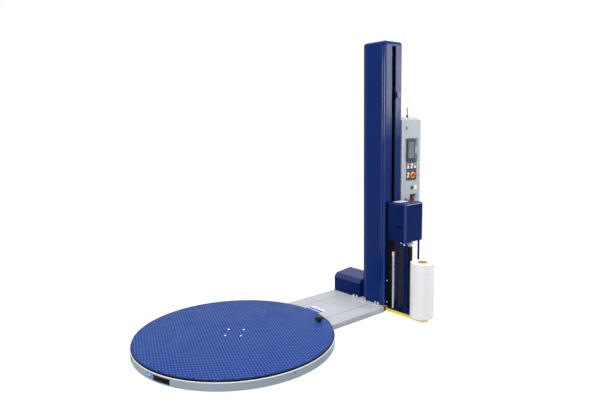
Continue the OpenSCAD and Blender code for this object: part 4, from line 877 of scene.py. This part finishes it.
# The sleeve's pale pink is a painted reflection on the roller's top.
pink_painted_reflection_nylon = moulded("pink_painted_reflection_nylon", tint(236, 190, 188), tint(242, 208, 204), gloss=0.4)
reflection_sleeve = turned("idle_sleeve", [
    (idle_radius + 0.0002, -0.046), (idle_radius + 0.0007, -0.045), (idle_radius + 0.0007, -0.001),
    (idle_radius - 0.001, 0.0006), (0.006, 0.0008)], 40)
stood(reflection_sleeve, (idle_axis.x, idle_axis.y, idle_top))
fitted(reflection_sleeve, pink_painted_reflection_nylon, "idler")

# The foot guard is a bent steel strip in yellow enamel round the carriage floor.
# It floats on pins and trips a switch when it meets something.
guard_yellow = painted("guard_yellow_enamel", tint(255, 222, 2), tint(240, 208, 60),
                       wear=0.25, dust=0.2, gloss=0.34, peel=0.15, specular=0.3)
edged_copy("bumper", "guard_strip", guard_yellow, edge=0.0018)

# The film reel is stretch film wound on a card tube that stands on a black spindle.
# The film is milky, and its turns show as fine lines round the side and on the ends.
film_low, film_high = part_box("film_roll")
core_low, core_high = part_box("film_core")
reel_axis = middle_of("film_core")
film_radius, core_radius = radius_of("film_roll"), radius_of("film_core")
film_length = film_high.z - film_low.z
wound = turned("film_wound", [
    (core_radius + 0.0004, 0.0), (film_radius - 0.0035, 0.0),
    (film_radius - 0.001, 0.0012), (film_radius, 0.004),
    (film_radius, film_length - 0.004), (film_radius - 0.001, film_length - 0.0012),
    (film_radius - 0.0035, film_length), (film_radius - 0.02, film_length - 0.0006),
    (core_radius + 0.018, film_length - 0.0016), (core_radius + 0.0004, film_length - 0.0004)],
    120, tube=True)
stood(wound, (reel_axis.x, reel_axis.y, film_low.z))
film, tree, shader = bare_material("milky_film")
where = own_place(tree)
centred = vectors_worked_out(tree, "SUBTRACT", where, (reel_axis.x, reel_axis.y, 0.0))["Vector"]
flat = vectors_worked_out(tree, "MULTIPLY", centred, (1.0, 1.0, 0.0))["Vector"]
out_from_axis = vectors_worked_out(tree, "LENGTH", flat)["Value"]
turns = tree.nodes.new("ShaderNodeCombineXYZ")
tree.links.new(worked_out(tree, "MULTIPLY", out_from_axis, 900.0), turns.inputs["X"])
tree.links.new(worked_out(tree, "MULTIPLY", parts_of(tree, where)["Z"], 26.0), turns.inputs["Z"])
banding = noise(tree, turns.outputs[0], 1.0, 6.0, 0.6)
creased = tree.nodes.new("ShaderNodeMapping")
creased.inputs["Scale"].default_value = (30.0, 30.0, 1.6)
tree.links.new(where, creased.inputs["Vector"])
creases = noise(tree, creased.outputs["Vector"], 1.0, 4.0)
milk = blend_colour(tree, remap(tree, banding, 0.35, 0.7, 0.0, 0.5), tint(240, 241, 242), tint(230, 232, 234))
milkier = blend_colour(tree, remap(tree, creases, 0.5, 0.72, 0.0, 0.45), milk, tint(248, 249, 250))
tree.links.new(milkier, shader.inputs["Base Color"])
tree.links.new(remap(tree, creases, 0.3, 0.7, 0.22, 0.4), shader.inputs["Roughness"])
shader.inputs["Subsurface Weight"].default_value = 0.25
shader.inputs["Subsurface Radius"].default_value = (0.02, 0.02, 0.02)
shader.inputs["Subsurface Scale"].default_value = 0.4
bumped(tree, shader, worked_out(tree, "ADD", banding, creases), strength=0.25, depth=0.0008)
fitted(wound, film, "film_reel", "film_roll")

# The core is a card tube that stands a little above the film.
# Its card is matt and rough, and its edges are broken.
core_length = core_high.z - core_low.z
bore, worn = core_radius - 0.008, 0.0006
tube = turned("card_tube", [
    (bore, 0.0), (core_radius, 0.0), (core_radius, core_length - worn), (core_radius - worn, core_length),
    (bore + worn, core_length), (bore, core_length - worn)], 72, tube=True)
stood(tube, (reel_axis.x, reel_axis.y, core_low.z))
card = moulded("core_card", tint(212, 170, 92), tint(226, 196, 134),
               gloss=0.85, bite=0.5, grain_scale=300.0, specular=0.2)
fitted(tube, card, "film_reel", "film_core")
coat_node(black_nylon_and_painted_shade, "reel_spindle")

# The control cabinet is a folded steel box in light grey enamel beside the mast.
# A hinged door carries the controls, next to a narrow fixed strip.
cabinet_grey = painted("cabinet_grey_enamel", tint(170, 177, 183), tint(187, 192, 196),
                       wear=0.2, dust=0.0, gloss=0.45, peel=0.5, specular=0.25)
for node, name in (("cabinet_body", "cabinet_box"), ("cabinet_door", "cabinet_leaf")):
    edged_copy(node, name, cabinet_grey, edge=0.002)
edged_copy("cabinet_fittings", "aerial_and_gland", black_nylon_and_painted_shade, edge=0.0004)
coat_node(black_nylon_and_painted_shade, "cabinet_electrics")
edged_copy("panel_fittings", "door_fittings", black_nylon_and_painted_shade, edge=0.001)

# The button plate is dark moulded plastic with a raised housing for the display.
# A black bezel frames the screen. The housing's right side is a grey strip painted lighter as a painted
# highlight, with a white inlay at mid height as a painted glint.
panel_tone = moulded("panel_plastic", tint(52, 56, 78), tint(78, 82, 102), gloss=0.45, specular=0.25)
edged_copy("control_panel", "button_plate", panel_tone, edge=0.0015, steps=3)
panel_low, panel_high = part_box("control_panel")
pane_low, pane_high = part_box("hmi_screen")
housing_y = panel_low.y
bezel_x = pane_high.x
bezel = slab("screen_bezel", (panel_low.x + 0.001, housing_y - 0.0008, pane_low.z - 0.019),
             (bezel_x, housing_y + 0.002, panel_high.z - 0.009), edge=0.0006)
fitted(bezel, black_nylon_and_painted_shade, "door")
# The light grey of the housing's right side is a painted highlight of the light on that side.
lit_side_strip = slab("screen_grip", (bezel_x + 0.001, housing_y - 0.004, pane_low.z - 0.024),
                 (bezel_x + 0.0245, housing_y + 0.002, panel_high.z - 0.003), edge=0.003, steps=3)
lit_side_painted_highlight_grey = moulded("lit_side_painted_highlight_grey", tint(92, 98, 112), tint(128, 134, 146), gloss=0.35)
fitted(lit_side_strip, lit_side_painted_highlight_grey, "door")
glint_mid = (pane_low.z + pane_high.z) / 2
# The white inlay at mid height is a painted glint on the housing's side.
grip_inlay = slab("grip_inlay", (bezel_x + 0.003, housing_y - 0.0052, glint_mid - 0.035),
                  (bezel_x + 0.013, housing_y - 0.003, glint_mid + 0.035), edge=0.001)
fitted(grip_inlay, white_nylon_and_painted_glint, "door")

# The display is a pane of glass over a grey-green screen.
# It is set in the bezel, with a dark edge printed on the glass.
edge_x, edge_z, blur = 0.002, 0.003, 0.001
pane_low = Vector((pane_low.x - 0.008, housing_y - 0.0016, pane_low.z - 0.001))
pane_high = Vector((pane_high.x - 0.012, housing_y - 0.0004, pane_high.z + 0.001))
pane = slab("screen_pane", pane_low, pane_high, edge=0.0004)
screen, tree, shader = bare_material("screen_glass")
where = own_place(tree)
on_pane = parts_of(tree, where)
# The screen's colour is painted lighter towards the bottom: a painted glow on the glass.
glow = remap(tree, on_pane["Z"], pane_low.z, pane_high.z, 0.0, 1.0)
lit_tone = blend_colour(tree, glow, tint(99, 123, 134), tint(79, 101, 113))
smears = noise(tree, where, 40.0, 5.0)
toned = blend_colour(tree, remap(tree, smears, 0.4, 0.75, 0.0, 0.35), lit_tone, tint(122, 142, 149))
inside = 1.0
for axis, low_edge, high_edge in (("X", pane_low.x + edge_x, pane_high.x - edge_x),
                                  ("Z", pane_low.z + edge_z, pane_high.z - edge_z)):
    above_low = remap(tree, on_pane[axis], low_edge, low_edge + blur, 0.0, 1.0)
    below_high = remap(tree, on_pane[axis], high_edge - blur, high_edge, 1.0, 0.0)
    inside = worked_out(tree, "MULTIPLY", inside, worked_out(tree, "MULTIPLY", above_low, below_high))
tree.links.new(blend_colour(tree, inside, tint(34, 38, 44), toned), shader.inputs["Base Color"])
tree.links.new(remap(tree, smears, 0.3, 0.8, 0.08, 0.22), shader.inputs["Roughness"])
bumped(tree, shader, noise(tree, where, 300.0, 2.0), strength=0.05, depth=0.0001)
fitted(pane, screen, "door", "hmi_screen")

# Four push buttons stand in pale bezels, each over a blank legend plate.
# They are moulded in their own colours, with a shallow dish in the face.
button_plate_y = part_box("estop_collar")[1].y
bezels, legends = [], []
legend_half, legend_low, legend_high, legend_proud = 0.0145, 0.0375, 0.0155, 0.0014
red_plastic = moulded("red_plastic", tint(214, 40, 36), tint(232, 98, 88), gloss=0.35)
dark_plastic = moulded("dark_plastic", tint(40, 46, 78), tint(72, 78, 108), gloss=0.35)
yellow_plastic = moulded("yellow_plastic", tint(246, 212, 24), tint(250, 226, 96), gloss=0.35)
outward = (0.0, -1.0, 0.0)
faces = {
    "button_red": ("red_push", "red_plastic", red_plastic),
    "button_white": ("white_push", "white_plastic", white_nylon_and_painted_glint),
    "button_dark": ("dark_push", "dark_blue_plastic", dark_plastic),
    "button_yellow": ("yellow_push", "yellow_plastic", yellow_plastic),
}
for node, (body, slot, tone) in faces.items():
    low_at, high_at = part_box(node)
    middle, radius, depth = middle_of(node), radius_of(node), high_at.y - low_at.y
    cap = turned(node + "_cap", [(radius, 0.0), (radius, depth - 0.0015), (radius - 0.0015, depth),
                                 (radius - 0.0035, depth - 0.0002), (radius - 0.006, depth - 0.0014)], 40)
    stood(cap, (middle.x, high_at.y, middle.z), outward)
    fitted(cap, tone, body, node)
    ring = turned("bezel", [
        (radius + 0.0003, 0.0), (radius + 0.0036, 0.0), (radius + 0.0036, 0.0063), (radius + 0.003, 0.0072),
        (radius + 0.0003, 0.0072)], 40, tube=True)
    bezels.append(stood(ring, (middle.x, button_plate_y, middle.z), outward))
    legends.append(slab(
        "legend", (middle.x - legend_half, button_plate_y - legend_proud, middle.z - legend_low),
        (middle.x + legend_half, button_plate_y, middle.z - legend_high), edge=0.0008))
fitted(joined("button_bezels", bezels), white_nylon_and_painted_glint, "door")
faint_bands = stripes("Z", start=0.0, pitch=0.018)
blank_print = printed("blank_print", tint(226, 229, 232), tint(242, 243, 244), faint_bands)
fitted(joined("legend_plates", legends), blank_print, "door")

# The emergency stop is a red mushroom head on a yellow collar.
# Both are glossy moulded plastic.
collar_low, collar_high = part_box("estop_collar")
stop_low, stop_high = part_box("estop_button")
collar_axis, collar_radius = middle_of("estop_collar"), radius_of("estop_collar")
stop_axis, stop_radius = middle_of("estop_button"), radius_of("estop_button")
collar_depth, stop_depth = collar_high.y - collar_low.y, stop_high.y - stop_low.y
hoop_bore = stop_radius + 0.0006
hoop = turned("stop_hoop", [
    (hoop_bore, 0.0), (collar_radius, 0.0), (collar_radius, collar_depth - 0.0015),
    (collar_radius - 0.0015, collar_depth), (hoop_bore, collar_depth)], 64, tube=True)
stood(hoop, (collar_axis.x, collar_high.y, collar_axis.z), outward)
fitted(hoop, yellow_plastic, "door", "estop_collar")
mushroom = turned("stop_mushroom", [
    (stop_radius - 0.006, 0.0), (stop_radius - 0.006, stop_depth - 0.021),
    (stop_radius - 0.002, stop_depth - 0.019), (stop_radius, stop_depth - 0.016),
    (stop_radius, stop_depth - 0.009), (stop_radius - 0.002, stop_depth - 0.0045),
    (stop_radius - 0.006, stop_depth - 0.0014), (stop_radius - 0.012, stop_depth)], 56)
stood(mushroom, (stop_axis.x, stop_high.y, stop_axis.z), outward)
stop_red = moulded("stop_red", tint(224, 52, 26), tint(238, 104, 70), gloss=0.28, bite=0.1, coat=0.3)
fitted(mushroom, stop_red, "stop_push", "estop_button")

# The main switch has a red handle that turns on a square black plate.
# The two door locks are zinc cams turned with a key.
handle = edged_copy("switch_handle", "switch_grip", stop_red, edge=0.0016, steps=3)
base_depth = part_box("switch_handle")[1].y - 0.0125
second_coat(handle, black_nylon_and_painted_shade, lambda face: face.center.y > base_depth)
for end in ("upper", "lower"):
    edged_copy("door_lock_" + end, end + "_cam", dark_zinc, edge=0.0006)

# Two blank plates are stuck on the door: a white one beside the port
# and a blue one beside the main switch.
door_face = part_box("cabinet_door")[0].y
plate_front = door_face - 0.0006
white_plate = slab("port_plate", (1.908, plate_front, 1.136), (1.946, door_face, 1.180), edge=0.0002)
fitted(white_plate, blank_print, "door")
pale_spot = near_point((1.93, door_face, 1.07), reach=0.006)
plain_blue = printed("plain_blue_print", tint(70, 130, 214), tint(130, 172, 228), pale_spot)
blue_plate = slab("switch_plate_print", (1.916, plate_front, 1.048), (1.946, door_face, 1.096), edge=0.0002)
fitted(blue_plate, plain_blue, "door")
